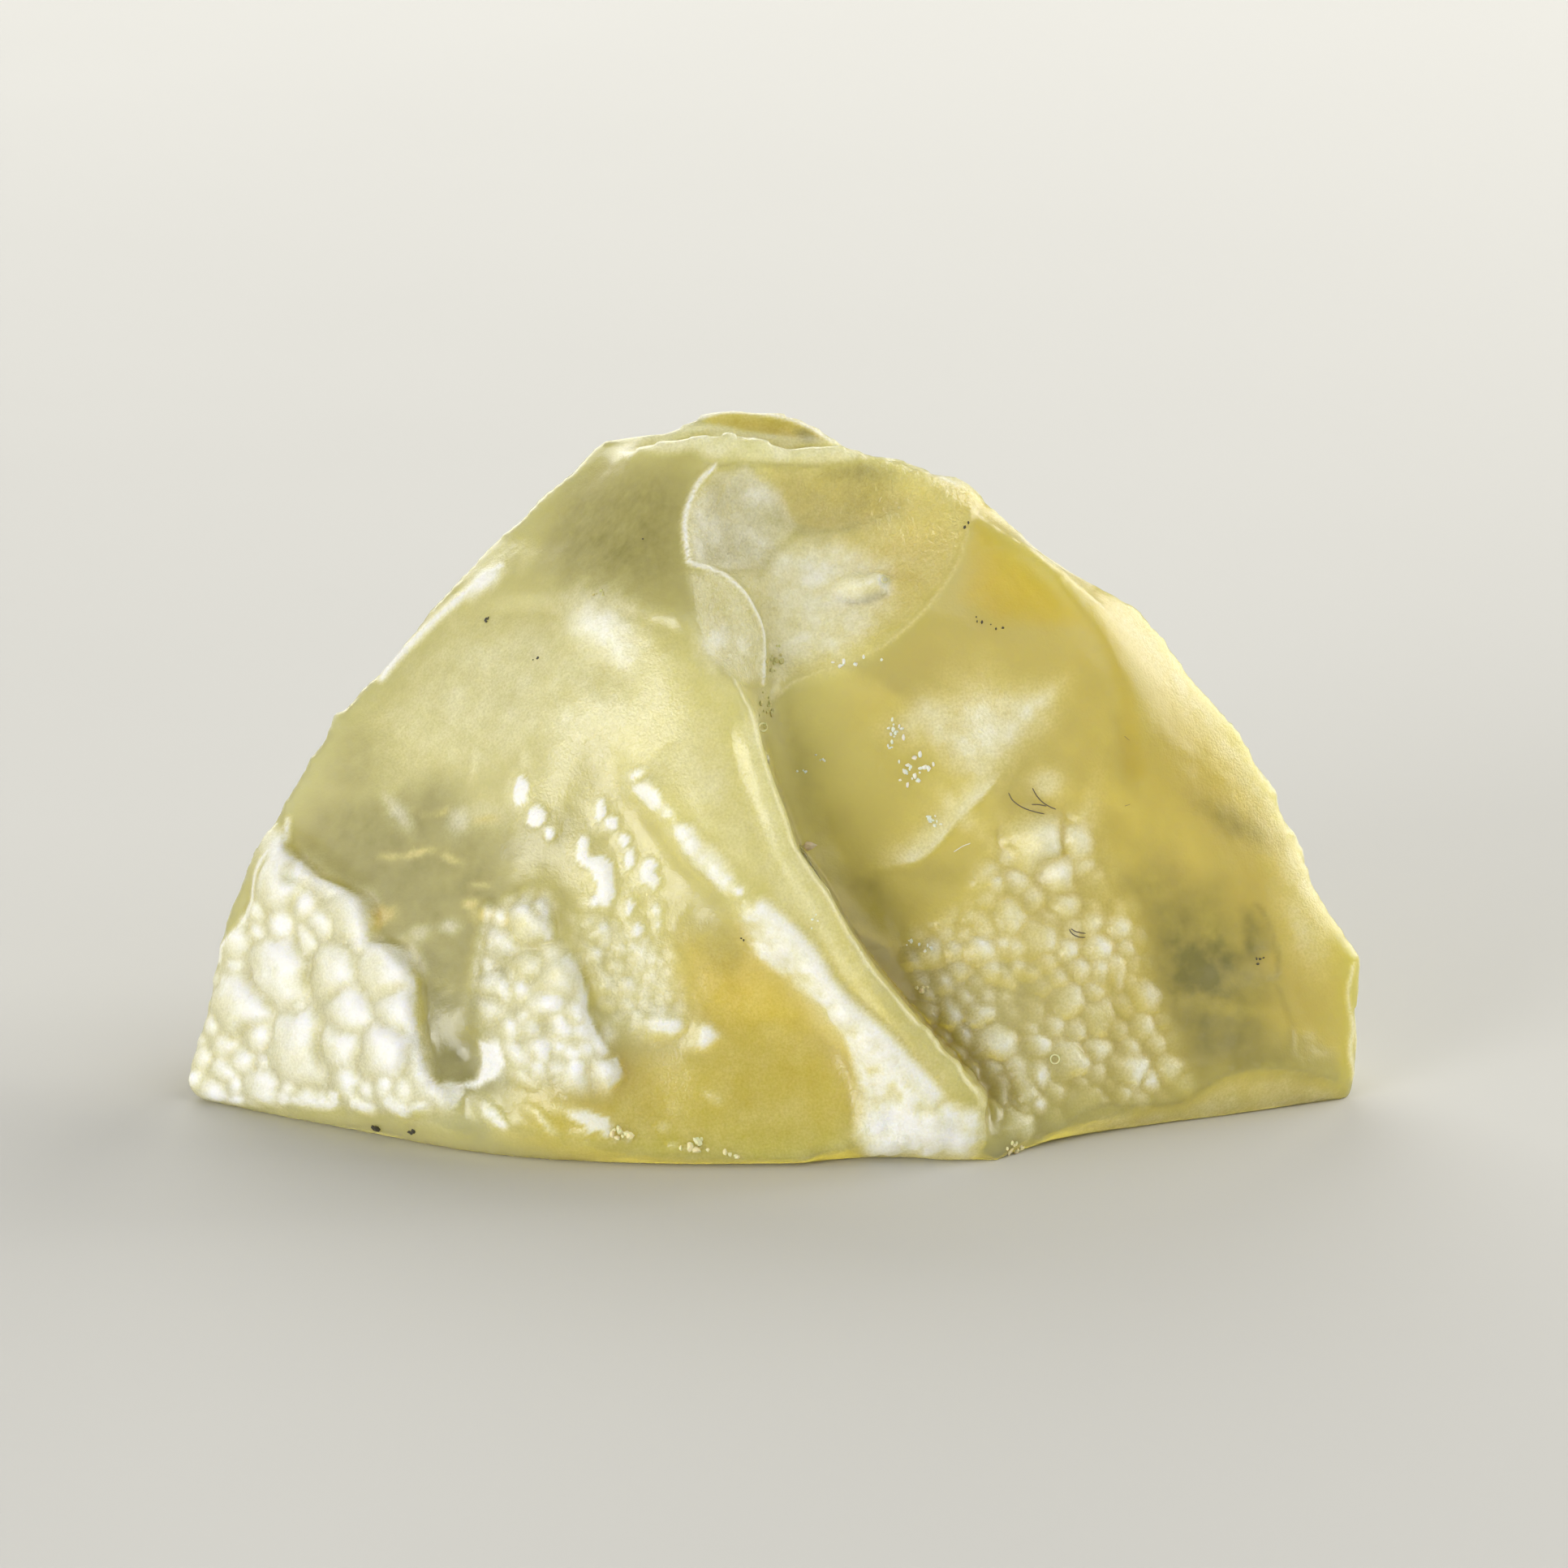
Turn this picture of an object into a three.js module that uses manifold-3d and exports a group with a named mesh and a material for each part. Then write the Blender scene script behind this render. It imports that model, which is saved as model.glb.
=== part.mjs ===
// A raw piece of natural desert glass. It is one translucent, honey-yellow stone in the shape of a
// low mountain, broken long ago, hollowed by shell-shaped chips and worn soft by blown sand.
// Units are millimetres. x runs from left to right, y away from the viewer and z up. The stone
// rests on a small flat under it, at z = 0, and the origin is the middle of that side of its box.

import * as THREE from "three";
import { mergeVertices } from "three/addons/utils/BufferGeometryUtils.js";
import Module from "manifold-3d";

// Skin
const FACE_ROWS = 33; // rows of faces from the undercut up to the rim
const LOW_ROW_SIZE = 0.6; // height of the lowest rows, where most of the lumps are, against the mean
const RESTING_MIDDLE = new THREE.Vector3(0, 0, 0);

// Saddle between the front crest and the back rim of the summit
const SADDLE_RINGS = 2; // rings of faces from the rim in to the middle
const SADDLE_MIDDLE = new THREE.Vector3(-0.4, 1.3, 22.6);
const SADDLE_SAG = 0.5; // how much deeper than a cone it is

// Relief of the front
const RELIEF_FOOT = [0.4, 1.6]; // heights above the flat between which the relief fades in
const FRONT_TURN = 0.4; // how far the skin has to face the viewer to have all of its relief
const LEDGE_BREAK = 0.45; // half width of the break at the edge of a ledge
const LEDGE_END = 1.2; // how far past its ends a ledge dies away
const SWELL_EDGE = [0.1, 1.2]; // shares of the half sizes between which a swell dies away
const FIELD_EDGE = [0.75, 1.05]; // the same for a field of lumps
const LUMP_SEED = 11;
const LUMP_SCATTER = 0.5; // how far a lump strays from its place, as a share of the size of a lump
const LUMP_ROW = 0.87; // distance between rows of lumps, as a share of the size of a lump
const LUMP_TOP = 0.6; // share of the height of a lump that stands above the skin
const LUMP_CREASE = 2; // how steeply a lump falls away from its top

// Chips
const CHIP_SIDES = 30; // points round the lip of a large chip
const ROUND_LIP_POINTS = 12; // points that draw the lip of a round chip
const CHIP_RINGS = [0.75, 0.5, 0.25]; // shares of the way from the lip to the deepest point
const CHIP_WALL = 1.8; // height of the walls of a cutting bowl above its lip
const CHIP_FLARE = 0.08; // how far those walls lean out, as a share of the size of the lip

// Ribs run from the resting flat up to the rim of the summit, and the skin is stretched over them.
// The first two points of each are the edge of the flat and the top of the undercut above it.
// The skin breaks into an edge at a sharp rib and runs smoothly over the others. The columns are
// the strips of faces between a rib and the next one round.
const ribs = [
  {
    name: "left edge",
    columns: 7,
    sharp: true,
    points: [
      [-20.6, -2.8, 0.0], [-21.0, -2.6, 0.7], [-20.4, -2.3, 2.5], [-19.8, -1.9, 4.8],
      [-19.4, -1.5, 6.9], [-18.6, -1.1, 8.3], [-17.6, -0.7, 10.3], [-16.2, -0.2, 12.6],
      [-15.3, 0.1, 13.9], [-13.5, 0.5, 15.6], [-12.3, 0.8, 17.2], [-10.6, 1.2, 18.9],
      [-8.5, 1.5, 21.1], [-7.0, 1.7, 22.4], [-6.1, 1.9, 23.2],
    ],
  },
  {
    name: "left flank",
    columns: 10,
    points: [
      [-18.0, -4.3, 0.0], [-18.1, -4.7, 0.4], [-17.5, -4.4, 3.1], [-16.4, -3.3, 7.9],
      [-13.6, -2.2, 13.0], [-11.3, -1.6, 16.1], [-9.0, -0.9, 18.8], [-7.0, -0.2, 21.3],
      [-5.8, 0.7, 23.1],
    ],
  },
  {
    name: "left face",
    columns: 11,
    points: [
      [-14.6, -6.5, 0.0], [-14.6, -7.4, 1.0], [-14.3, -7.0, 3.3], [-13.1, -5.6, 8.2],
      [-11.0, -4.2, 13.2], [-9.3, -3.5, 16.0], [-7.4, -2.5, 18.8], [-6.0, -1.5, 21.0],
      [-5.2, -0.1, 23.4],
    ],
  },
  {
    name: "cobbled face",
    columns: 9,
    points: [
      [-9.9, -9.3, 0.0], [-9.9, -10.2, 1.3], [-9.7, -9.6, 3.8], [-8.8, -7.9, 9.2],
      [-7.5, -6.2, 14.6], [-6.9, -5.1, 17.2], [-6.2, -3.7, 19.8], [-5.6, -2.3, 21.8],
      [-4.7, -0.6, 23.7],
    ],
  },
  {
    name: "amber face",
    columns: 6,
    points: [
      [-4.4, -10.4, 0.0], [-4.4, -11.0, 0.6], [-4.5, -10.2, 3.4], [-4.9, -8.8, 8.8],
      [-5.1, -7.1, 14.3], [-5.2, -6.0, 16.9], [-5.1, -4.6, 19.4], [-4.8, -3.0, 21.6],
      [-4.0, -0.9, 23.9],
    ],
  },
  {
    name: "ridge flank",
    columns: 6,
    points: [
      [1.3, -10.2, 0.0], [1.3, -10.8, 0.3], [0.8, -10.4, 2.8], [-1.1, -9.4, 8.4],
      [-2.6, -8.0, 13.6], [-3.5, -6.8, 16.4], [-4.0, -5.4, 18.9], [-3.9, -3.5, 21.4],
      [-3.1, -1.1, 24.1],
    ],
  },
  {
    name: "great ridge",
    columns: 4,
    sharp: true,
    points: [
      [7.0, -10.0, 0.0], [7.2, -10.4, 1.2], [6.8, -10.2, 2.8], [5.0, -9.8, 4.8],
      [3.2, -9.3, 6.9], [1.7, -8.9, 9.6], [0.2, -8.4, 12.2], [-0.6, -7.6, 14.6],
      [-1.3, -6.9, 16.2], [-2.5, -6.2, 17.6], [-3.0, -5.3, 18.9], [-3.2, -3.9, 20.7],
      [-3.1, -2.8, 22.0], [-2.6, -1.9, 23.0], [-2.2, -1.1, 24.2],
    ],
  },
  {
    name: "hollow root",
    columns: 4,
    points: [
      [7.8, -9.9, 0.0], [8.0, -9.6, 1.1], [7.4, -8.6, 2.4], [5.6, -7.4, 4.3],
      [3.7, -6.2, 6.2], [2.2, -5.2, 8.7], [0.8, -4.6, 11.3], [0.1, -4.3, 13.9],
      [-0.4, -4.1, 16.0], [-0.7, -3.7, 17.8], [-1.4, -3.6, 19.4], [-2.4, -3.0, 21.0],
      [-2.3, -2.0, 22.6], [-1.7, -1.0, 24.2],
    ],
  },
  {
    name: "hollow floor",
    columns: 8,
    points: [
      [9.8, -7.5, 0.0], [10.0, -8.4, 0.7], [9.5, -7.3, 3.1], [8.1, -6.1, 5.7],
      [6.7, -5.0, 8.4], [5.3, -4.2, 11.1], [4.3, -3.8, 14.0], [3.3, -3.3, 16.8],
      [2.1, -2.4, 19.5], [0.8, -1.3, 21.9], [-0.2, -0.9, 23.8],
    ],
  },
  {
    name: "hollow side",
    columns: 8,
    points: [
      [13.1, -5.8, 0.0], [12.9, -6.5, 1.0], [12.1, -5.9, 3.6], [10.1, -4.2, 9.0],
      [8.1, -3.1, 14.7], [6.8, -2.5, 17.2], [5.0, -1.6, 19.6], [3.4, -0.7, 21.6],
      [2.1, -0.4, 23.6],
    ],
  },
  {
    name: "soft ridge",
    columns: 4,
    points: [
      [16.3, -4.4, 0.0], [16.0, -5.3, 1.8], [15.0, -4.7, 4.1], [13.1, -3.7, 9.8],
      [12.6, -3.2, 12.6], [12.1, -2.6, 15.1], [11.1, -1.8, 17.6], [9.3, -0.9, 19.4],
      [6.7, 0.0, 21.1], [4.0, 0.5, 22.9],
    ],
  },
  {
    name: "right face",
    columns: 4,
    points: [
      [18.9, -3.1, 0.0], [18.7, -4.0, 1.5], [18.2, -3.6, 3.2], [16.5, -2.7, 8.0],
      [15.6, -2.1, 10.8], [14.6, -1.5, 13.4], [13.3, -0.8, 15.9], [11.6, -0.3, 17.8],
      [9.6, 0.3, 19.1], [5.6, 1.1, 22.2],
    ],
  },
  {
    name: "right edge",
    columns: 2,
    sharp: true,
    points: [
      [20.5, -2.3, 0.0], [20.7, -2.3, 0.4], [20.6, -2.0, 2.3], [21.0, -1.7, 4.3],
      [20.6, -1.5, 5.4], [19.4, -1.1, 7.2], [18.2, -0.5, 9.9], [16.5, 0.0, 13.0],
      [14.7, 0.4, 15.0], [12.8, 0.8, 17.4], [11.1, 1.0, 18.2], [9.2, 1.3, 19.4],
      [8.0, 1.5, 20.6], [6.9, 1.6, 21.4],
    ],
  },
  {
    name: "back right flank",
    columns: 2,
    points: [
      [19.3, 2.2, 0.0], [19.6, 2.0, 1.0], [19.0, 1.9, 4.0], [16.0, 2.4, 9.0],
      [12.3, 2.8, 14.0], [8.5, 3.0, 18.0], [5.5, 2.7, 21.2], [4.7, 2.3, 22.3],
    ],
  },
  {
    name: "back right face",
    columns: 3,
    points: [
      [16.0, 6.5, 0.0], [16.4, 6.6, 1.2], [15.4, 6.2, 4.5], [13.0, 5.6, 9.0],
      [10.0, 5.2, 14.0], [6.5, 4.6, 18.5], [2.4, 3.2, 22.7],
    ],
  },
  {
    name: "back shoulder",
    columns: 3,
    points: [
      [10.5, 9.6, 0.0], [10.8, 9.9, 1.2], [10.2, 9.5, 5.0], [8.5, 8.5, 10.0],
      [6.3, 7.3, 15.0], [4.0, 5.8, 19.5], [0.8, 3.5, 23.7],
    ],
  },
  {
    name: "back ridge",
    columns: 3,
    sharp: true,
    points: [
      [3.5, 10.8, 0.0], [3.5, 11.1, 1.0], [3.3, 10.8, 5.0], [2.6, 9.9, 10.0],
      [1.5, 8.5, 15.0], [0.2, 6.5, 20.0], [-0.7, 3.7, 23.9],
    ],
  },
  {
    name: "back middle",
    columns: 3,
    points: [
      [-4.0, 10.3, 0.0], [-4.0, 10.7, 1.2], [-3.8, 10.4, 5.5], [-3.4, 9.6, 11.0],
      [-2.8, 8.0, 16.0], [-2.3, 5.9, 21.0], [-1.9, 3.7, 24.0],
    ],
  },
  {
    name: "back left face",
    columns: 3,
    points: [
      [-11.0, 8.3, 0.0], [-11.2, 8.7, 1.2], [-10.6, 8.4, 5.5], [-9.2, 7.6, 10.5],
      [-7.0, 6.4, 15.5], [-4.8, 5.0, 20.5], [-3.1, 3.5, 23.7],
    ],
  },
  {
    name: "back left flank",
    columns: 2,
    points: [
      [-16.5, 4.4, 0.0], [-16.9, 4.6, 1.2], [-16.0, 4.6, 5.0], [-13.6, 4.6, 9.5],
      [-10.5, 4.4, 14.5], [-7.2, 3.9, 19.5], [-4.3, 3.2, 23.4],
    ],
  },
  {
    name: "back left edge",
    columns: 2,
    points: [
      [-19.6, 0.6, 0.0], [-20.0, 0.8, 1.0], [-19.4, 1.0, 4.5], [-17.2, 1.6, 9.0],
      [-14.0, 2.3, 13.5], [-10.2, 2.6, 18.3], [-5.4, 2.6, 23.4],
    ],
  },
];

// Ledges of the front, drawn as (x, z) seen square on. Along each line the skin drops on the left
// hand and rises a little on the right hand.
const ledges = [
  {
    name: "left plateau",
    line: [
      [-17.4, 9.6], [-16.4, 8.7], [-14.8, 8.1], [-14.0, 7.2], [-13.0, 6.6], [-12.4, 5.3],
      [-12.3, 3.9], [-11.8, 2.6], [-11.1, 1.6],
    ],
    rise: 0.25,
    drop: 0.5,
    reach: 2.2,
  },
  {
    name: "middle plateau",
    line: [[-7.8, 8.9], [-6.8, 7.6], [-6.4, 6.0], [-5.9, 4.2], [-5.0, 2.2], [-4.6, 1.2]],
    rise: 0.2,
    drop: 0.4,
    reach: 1.8,
  },
  {
    name: "ridge slab",
    line: [
      [5.9, 0.6], [4.9, 2.1], [3.6, 3.7], [2.6, 5.2], [1.4, 6.8], [0.1, 8.3], [-1.2, 9.4],
      [-2.7, 10.6], [-3.8, 12.2], [-5.0, 13.5],
    ],
    rise: 0.1,
    drop: 0.75,
    reach: 4.5,
    breadth: 1.1,
  },
  {
    name: "shoulder",
    line: [[-0.6, 14.6], [-1.6, 16.7], [-3.0, 18.0], [-4.7, 18.6], [-7.3, 18.4], [-9.6, 17.9]],
    rise: 0.15,
    drop: -0.2,
    reach: 1.8,
    breadth: 0.1,
  },
];

// Soft hollows and swells of the front, each with its middle, half sizes, tilt and height
const swells = [
  { name: "finger trough", middle: [-11.1, 4.6], half: [1.1, 2.6], tilt: 15, height: -0.45 },
  { name: "shoulder hollow", middle: [-6.4, 17.3], half: [2.2, 1.2], tilt: -10, height: -0.25 },
  { name: "recess foot", middle: [0.4, 3.6], half: [2.6, 3.0], tilt: 0, height: -0.25 },
  { name: "right crest", middle: [9.4, 19.3], half: [2.4, 0.8], tilt: -40, height: 0.25 },
  { name: "right end hollow", middle: [14.6, 6.8], half: [1.6, 3.4], tilt: 15, height: -0.35 },
  { name: "right end swell", middle: [18.6, 6.6], half: [1.0, 2.6], tilt: 20, height: 0.3 },
];

// Fields of rounded lumps on the front, each with its middle, half sizes and the size of a lump
const lumpFields = [
  { name: "left cobbles", middle: [-15.6, 4.6], half: [4.4, 4.6], size: 2.2, height: 0.36 },
  { name: "middle cobbles", middle: [-8.2, 5.2], half: [2.8, 4.2], size: 2.0, height: 0.32 },
  { name: "upper cobbles", middle: [-4.4, 10.0], half: [3.2, 4.0], size: 1.9, height: 0.28 },
  { name: "hollow cobbles", middle: [9.6, 6.4], half: [3.4, 6.2], size: 2.1, height: 0.34 },
];

// Shell-shaped chips. A drawn lip lies on the skin. A round one is given by its middle, half sizes
// and roll. The bowl goes in against the facing, and is deepest under the middle of its lip.
const chips = [
  {
    name: "upper chip",
    lip: [
      [-2.1, -1.7, 23.1], [-2.9, -2.5, 22.3], [-3.2, -3.4, 21.2], [-2.9, -4.2, 20.2],
      [-1.8, -4.1, 19.5], [-1.1, -3.4, 18.7], [-0.7, -3.3, 17.6], [-0.5, -4.0, 16.0],
      [0.6, -3.6, 15.5], [1.9, -3.5, 16.1], [3.5, -3.2, 16.8], [5.2, -2.6, 17.9],
      [6.2, -1.6, 19.2], [6.6, -0.5, 20.6], [5.4, 0.1, 21.8], [3.6, -0.3, 22.6],
      [1.6, -1.0, 22.9], [-0.4, -1.3, 23.1],
    ],
    facing: [0.25, -0.9, 0.4],
    depth: 1.3,
  },
  {
    name: "almond chip",
    lip: [
      [-3.1, -4.6, 19.9], [-2.9, -5.3, 18.7], [-2.6, -6.1, 17.7], [-1.9, -6.5, 16.9],
      [-1.1, -6.5, 16.2], [-0.6, -5.0, 16.0], [-0.7, -3.4, 17.6], [-1.2, -3.4, 18.7],
      [-2.0, -4.1, 19.6],
    ],
    facing: [-0.1, -0.93, 0.35],
    depth: 0.45,
    sides: 20,
  },
  {
    name: "middle chip",
    lip: [
      [-0.2, -4.5, 14.9], [0.0, -4.7, 13.4], [0.6, -5.1, 11.8], [1.4, -5.4, 10.0],
      [2.4, -5.0, 9.2], [3.8, -4.8, 9.2], [5.4, -4.7, 9.8], [7.0, -4.1, 11.2],
      [8.2, -3.9, 12.5], [9.5, -3.9, 13.9], [10.6, -3.9, 15.7], [10.2, -3.6, 17.6],
      [8.4, -3.0, 18.9], [6.4, -2.6, 19.0], [4.8, -2.9, 18.0], [3.2, -3.5, 17.1],
      [1.6, -3.8, 16.4], [0.4, -4.0, 15.8],
    ],
    facing: [0.1, -0.93, 0.34],
    depth: 1.0,
  },
  {
    name: "right dimple",
    middle: [16.9, -3.4, 6.0],
    half: [0.75, 1.35],
    roll: -12,
    facing: [0.45, -0.86, 0.2],
    depth: 0.4,
    sides: 14,
  },
  {
    name: "ridge foot arch",
    middle: [3.9, -10.3, 0.1],
    half: [2.9, 0.75],
    roll: 0,
    facing: [0, -0.75, -0.66],
    depth: 0.5,
    sides: 18,
  },
  {
    name: "back upper left face",
    middle: [-6.2, 6.9, 14.6],
    half: [14, 13],
    roll: 0,
    facing: [-0.44, 0.8, 0.4],
    depth: 1.2,
    sides: 24,
  },
  {
    name: "back upper right face",
    middle: [6.0, 6.9, 14.8],
    half: [12, 14],
    roll: 20,
    facing: [0.42, 0.78, 0.46],
    depth: 1.1,
    sides: 24,
  },
  {
    name: "back middle face",
    middle: [1.2, 10.1, 7.2],
    half: [13, 10],
    roll: 12,
    facing: [0.05, 0.98, 0.2],
    depth: 1.0,
    sides: 24,
  },
  {
    name: "back lower left face",
    middle: [-11.0, 7.2, 6.4],
    half: [13, 10],
    roll: -20,
    facing: [-0.48, 0.85, 0.2],
    depth: 1.1,
    sides: 24,
  },
  {
    name: "back lower right face",
    middle: [12.0, 8.0, 5.2],
    half: [11, 9],
    roll: 15,
    facing: [0.5, 0.83, 0.26],
    depth: 1.0,
    sides: 24,
  },
  {
    name: "back foot chip",
    middle: [-4.2, 10.2, 2.4],
    half: [4.6, 2.4],
    roll: 8,
    facing: [-0.1, 0.98, 0.1],
    depth: 0.6,
    sides: 18,
  },
];

const wasm = await Module();
wasm.setup();

const vector = (point) => new THREE.Vector3(...point);

// Closed surface through rings of points of one length, with a fan at each end
function ringGeometry(rings, firstEnd, lastEnd) {
  const size = rings[0].length;
  const points = rings.flat();
  const first = points.length;
  points.push(firstEnd, lastEnd);
  const faces = [];
  for (let i = 0; i < size; i += 1) {
    const next = (i + 1) % size;
    faces.push(first, next, i);
    for (let r = 0; r + 1 < rings.length; r += 1) {
      const [low, high] = [r * size, (r + 1) * size];
      const [a, b, c, d] = [low + i, low + next, high + next, high + i];
      const isSlopingUp = points[a].distanceTo(points[c]) <= points[b].distanceTo(points[d]);
      faces.push(...(isSlopingUp ? [a, b, c, a, c, d] : [a, b, d, b, c, d]));
    }
    const last = (rings.length - 1) * size;
    faces.push(last + i, last + next, first + 1);
  }
  return new THREE.BufferGeometry().setFromPoints(points).setIndex(faces);
}

// One rib as its point at the flat, then one point for each row from the undercut to the rim
function ribRows(rib) {
  const [foot, ...rest] = rib.points.map(vector);
  const curve = new THREE.CatmullRomCurve3(rest, false, "centripetal");
  const rows = Array.from({ length: FACE_ROWS + 1 }, (_, j) => {
    const share = j / FACE_ROWS;
    return curve.getPointAt(share * (LOW_ROW_SIZE + (1 - LOW_ROW_SIZE) * share));
  });
  return [foot, ...rows];
}

// The ribs in the runs that lie between sharp ribs, each run with both of its sharp ends
function smoothRuns(allRibs) {
  const sharpAt = allRibs.flatMap((rib, i) => (rib.sharp ? [i] : []));
  return sharpAt.map((from, k) => {
    const to = k + 1 < sharpAt.length ? sharpAt[k + 1] : sharpAt[0] + allRibs.length;
    return allRibs.slice(from, to + 1).concat(allRibs.slice(0, Math.max(0, to + 1 - allRibs.length)));
  });
}

// Closed rings of points round the stone, one for each row
function skinRings() {
  const rings = Array.from({ length: FACE_ROWS + 2 }, () => []);
  for (const run of smoothRuns(ribs)) {
    const rows = run.map(ribRows);
    const gaps = run.length - 1;
    rings.forEach((ring, j) => {
      const across = new THREE.CatmullRomCurve3(rows.map((row) => row[j]), false, "centripetal");
      run.slice(0, gaps).forEach(({ columns }, gap) => {
        for (let c = 0; c < columns; c += 1) ring.push(across.getPoint((gap + c / columns) / gaps));
      });
    });
  }
  return rings;
}

// Rings that carry the skin from the rim down into the saddle between the two rims of the summit
function saddleRings(rim) {
  return Array.from({ length: SADDLE_RINGS }, (_, r) => {
    const share = (r + 1) / (SADDLE_RINGS + 1);
    const sag = SADDLE_SAG * Math.sin(Math.PI * share);
    return rim.map((p) => p.clone().lerp(SADDLE_MIDDLE, share).add(new THREE.Vector3(0, 0, -sag)));
  });
}

// Smooth passage from 0 to 1 between two values
const fade = (value, [from, to]) => THREE.MathUtils.smoothstep(value, from, to);

// The nearest point of a drawn line to (x, z): how far off, on which side, and how far past an end
function nearestOnLine(line, x, z) {
  let best = { off: Infinity };
  line.slice(1).forEach(([bx, bz], i) => {
    const [ax, az] = line[i];
    const [ux, uz] = [bx - ax, bz - az];
    const long = Math.hypot(ux, uz);
    const along = ((x - ax) * ux + (z - az) * uz) / long;
    const held = THREE.MathUtils.clamp(along, 0, long);
    const off = Math.hypot(x - ax - (ux * held) / long, z - az - (uz * held) / long);
    if (off >= best.off) return;
    const isEnd = (i === 0 && along < 0) || (i === line.length - 2 && along > long);
    const side = Math.sign((z - az) * ux - (x - ax) * uz);
    best = { off, side, past: isEnd ? Math.abs(along - held) : 0 };
  });
  return best;
}

// How far one ledge lifts or lowers the front at (x, z)
function ledgeRelief({ line, rise, drop, reach, breadth = LEDGE_BREAK }, x, z) {
  const { off, side, past } = nearestOnLine(line, x, z);
  const broken = fade(off, [0, breadth]) * Math.exp(-off / reach) * Math.exp(-past / LEDGE_END);
  return side > 0 ? -drop * broken : rise * broken;
}

// Distance of (x, z) from the middle of a tilted oval, which is 1 on its edge
function ovalDistance({ middle, half, tilt = 0 }, x, z) {
  const turn = THREE.MathUtils.degToRad(tilt);
  const [dx, dz] = [x - middle[0], z - middle[1]];
  const across = dx * Math.cos(turn) + dz * Math.sin(turn);
  const up = dz * Math.cos(turn) - dx * Math.sin(turn);
  return Math.hypot(across / half[0], up / half[1]);
}

// Middles of the lumps of one field, set out on a grid of staggered rows and then scattered
function lumpMiddles({ middle, half, size }, random) {
  const found = [];
  const rows = Math.ceil((2 * half[1]) / size);
  const columns = Math.ceil((2 * half[0]) / size);
  for (let row = 0; row <= rows; row += 1) {
    for (let column = 0; column <= columns; column += 1) {
      const stagger = row % 2 === 0 ? 0 : size / 2;
      found.push([
        middle[0] - half[0] + column * size + stagger + (random() - 0.5) * size * LUMP_SCATTER,
        middle[1] - half[1] + row * size * LUMP_ROW + (random() - 0.5) * size * LUMP_SCATTER,
      ]);
    }
  }
  return found;
}

// A repeatable stream of numbers between 0 and 1, each the last one multiplied on a large circle
function seededRandom(seed) {
  const [factor, circle] = [16807, 2147483647];
  let state = seed;
  return () => {
    state = (state * factor) % circle;
    return state / circle;
  };
}

const random = seededRandom(LUMP_SEED);
const lumps = lumpFields.map((field) => ({ ...field, middles: lumpMiddles(field, random) }));

// How far the lumps of one field stand out at (x, z), with creases where they meet
function lumpRelief(field, x, z) {
  const within = 1 - fade(ovalDistance(field, x, z), FIELD_EDGE);
  if (within === 0) return 0;
  const near = Math.min(...field.middles.map(([mx, mz]) => Math.hypot(x - mx, z - mz)));
  return field.height * within * (LUMP_TOP - LUMP_CREASE * (near / field.size) ** 2);
}

// How far the front stands out at (x, z)
function frontRelief(x, z) {
  let relief = 0;
  for (const ledge of ledges) relief += ledgeRelief(ledge, x, z);
  for (const swell of swells) relief += swell.height * (1 - fade(ovalDistance(swell, x, z), SWELL_EDGE));
  for (const field of lumps) relief += lumpRelief(field, x, z);
  return relief * fade(z, RELIEF_FOOT);
}

// Moves the points of the front out and in along the skin's own direction
function addRelief(rings) {
  const skin = ringGeometry(rings, RESTING_MIDDLE, SADDLE_MIDDLE);
  skin.computeVertexNormals();
  rings.flat().forEach((point, i) => {
    const outward = new THREE.Vector3().fromBufferAttribute(skin.attributes.normal, i);
    const frontness = fade(-outward.y, [0, FRONT_TURN]);
    if (frontness > 0) point.addScaledVector(outward, frontness * frontRelief(point.x, point.z));
  });
}

// A closed geometry as a solid that can be joined and cut
function solidOf(geometry) {
  const bare = geometry.clone();
  bare.deleteAttribute("normal");
  bare.deleteAttribute("uv");
  const merged = mergeVertices(bare, 1e-4);
  return new wasm.Manifold(
    new wasm.Mesh({
      numProp: 3,
      vertProperties: new Float32Array(merged.attributes.position.array),
      triVerts: new Uint32Array(merged.index.array),
    }),
  );
}

// The lip of a round chip, as points on a flat oval square to its facing
function roundLip({ middle, half, roll }, outward) {
  const turn = new THREE.Quaternion().setFromUnitVectors(new THREE.Vector3(0, -1, 0), outward);
  const tilt = THREE.MathUtils.degToRad(roll);
  return Array.from({ length: ROUND_LIP_POINTS }, (_, k) => {
    const angle = (k / ROUND_LIP_POINTS) * Math.PI * 2;
    const [across, up] = [half[0] * Math.cos(angle), half[1] * Math.sin(angle)];
    const x = across * Math.cos(tilt) - up * Math.sin(tilt);
    const z = across * Math.sin(tilt) + up * Math.cos(tilt);
    return new THREE.Vector3(x, 0, z).applyQuaternion(turn).add(vector(middle));
  });
}

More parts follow.
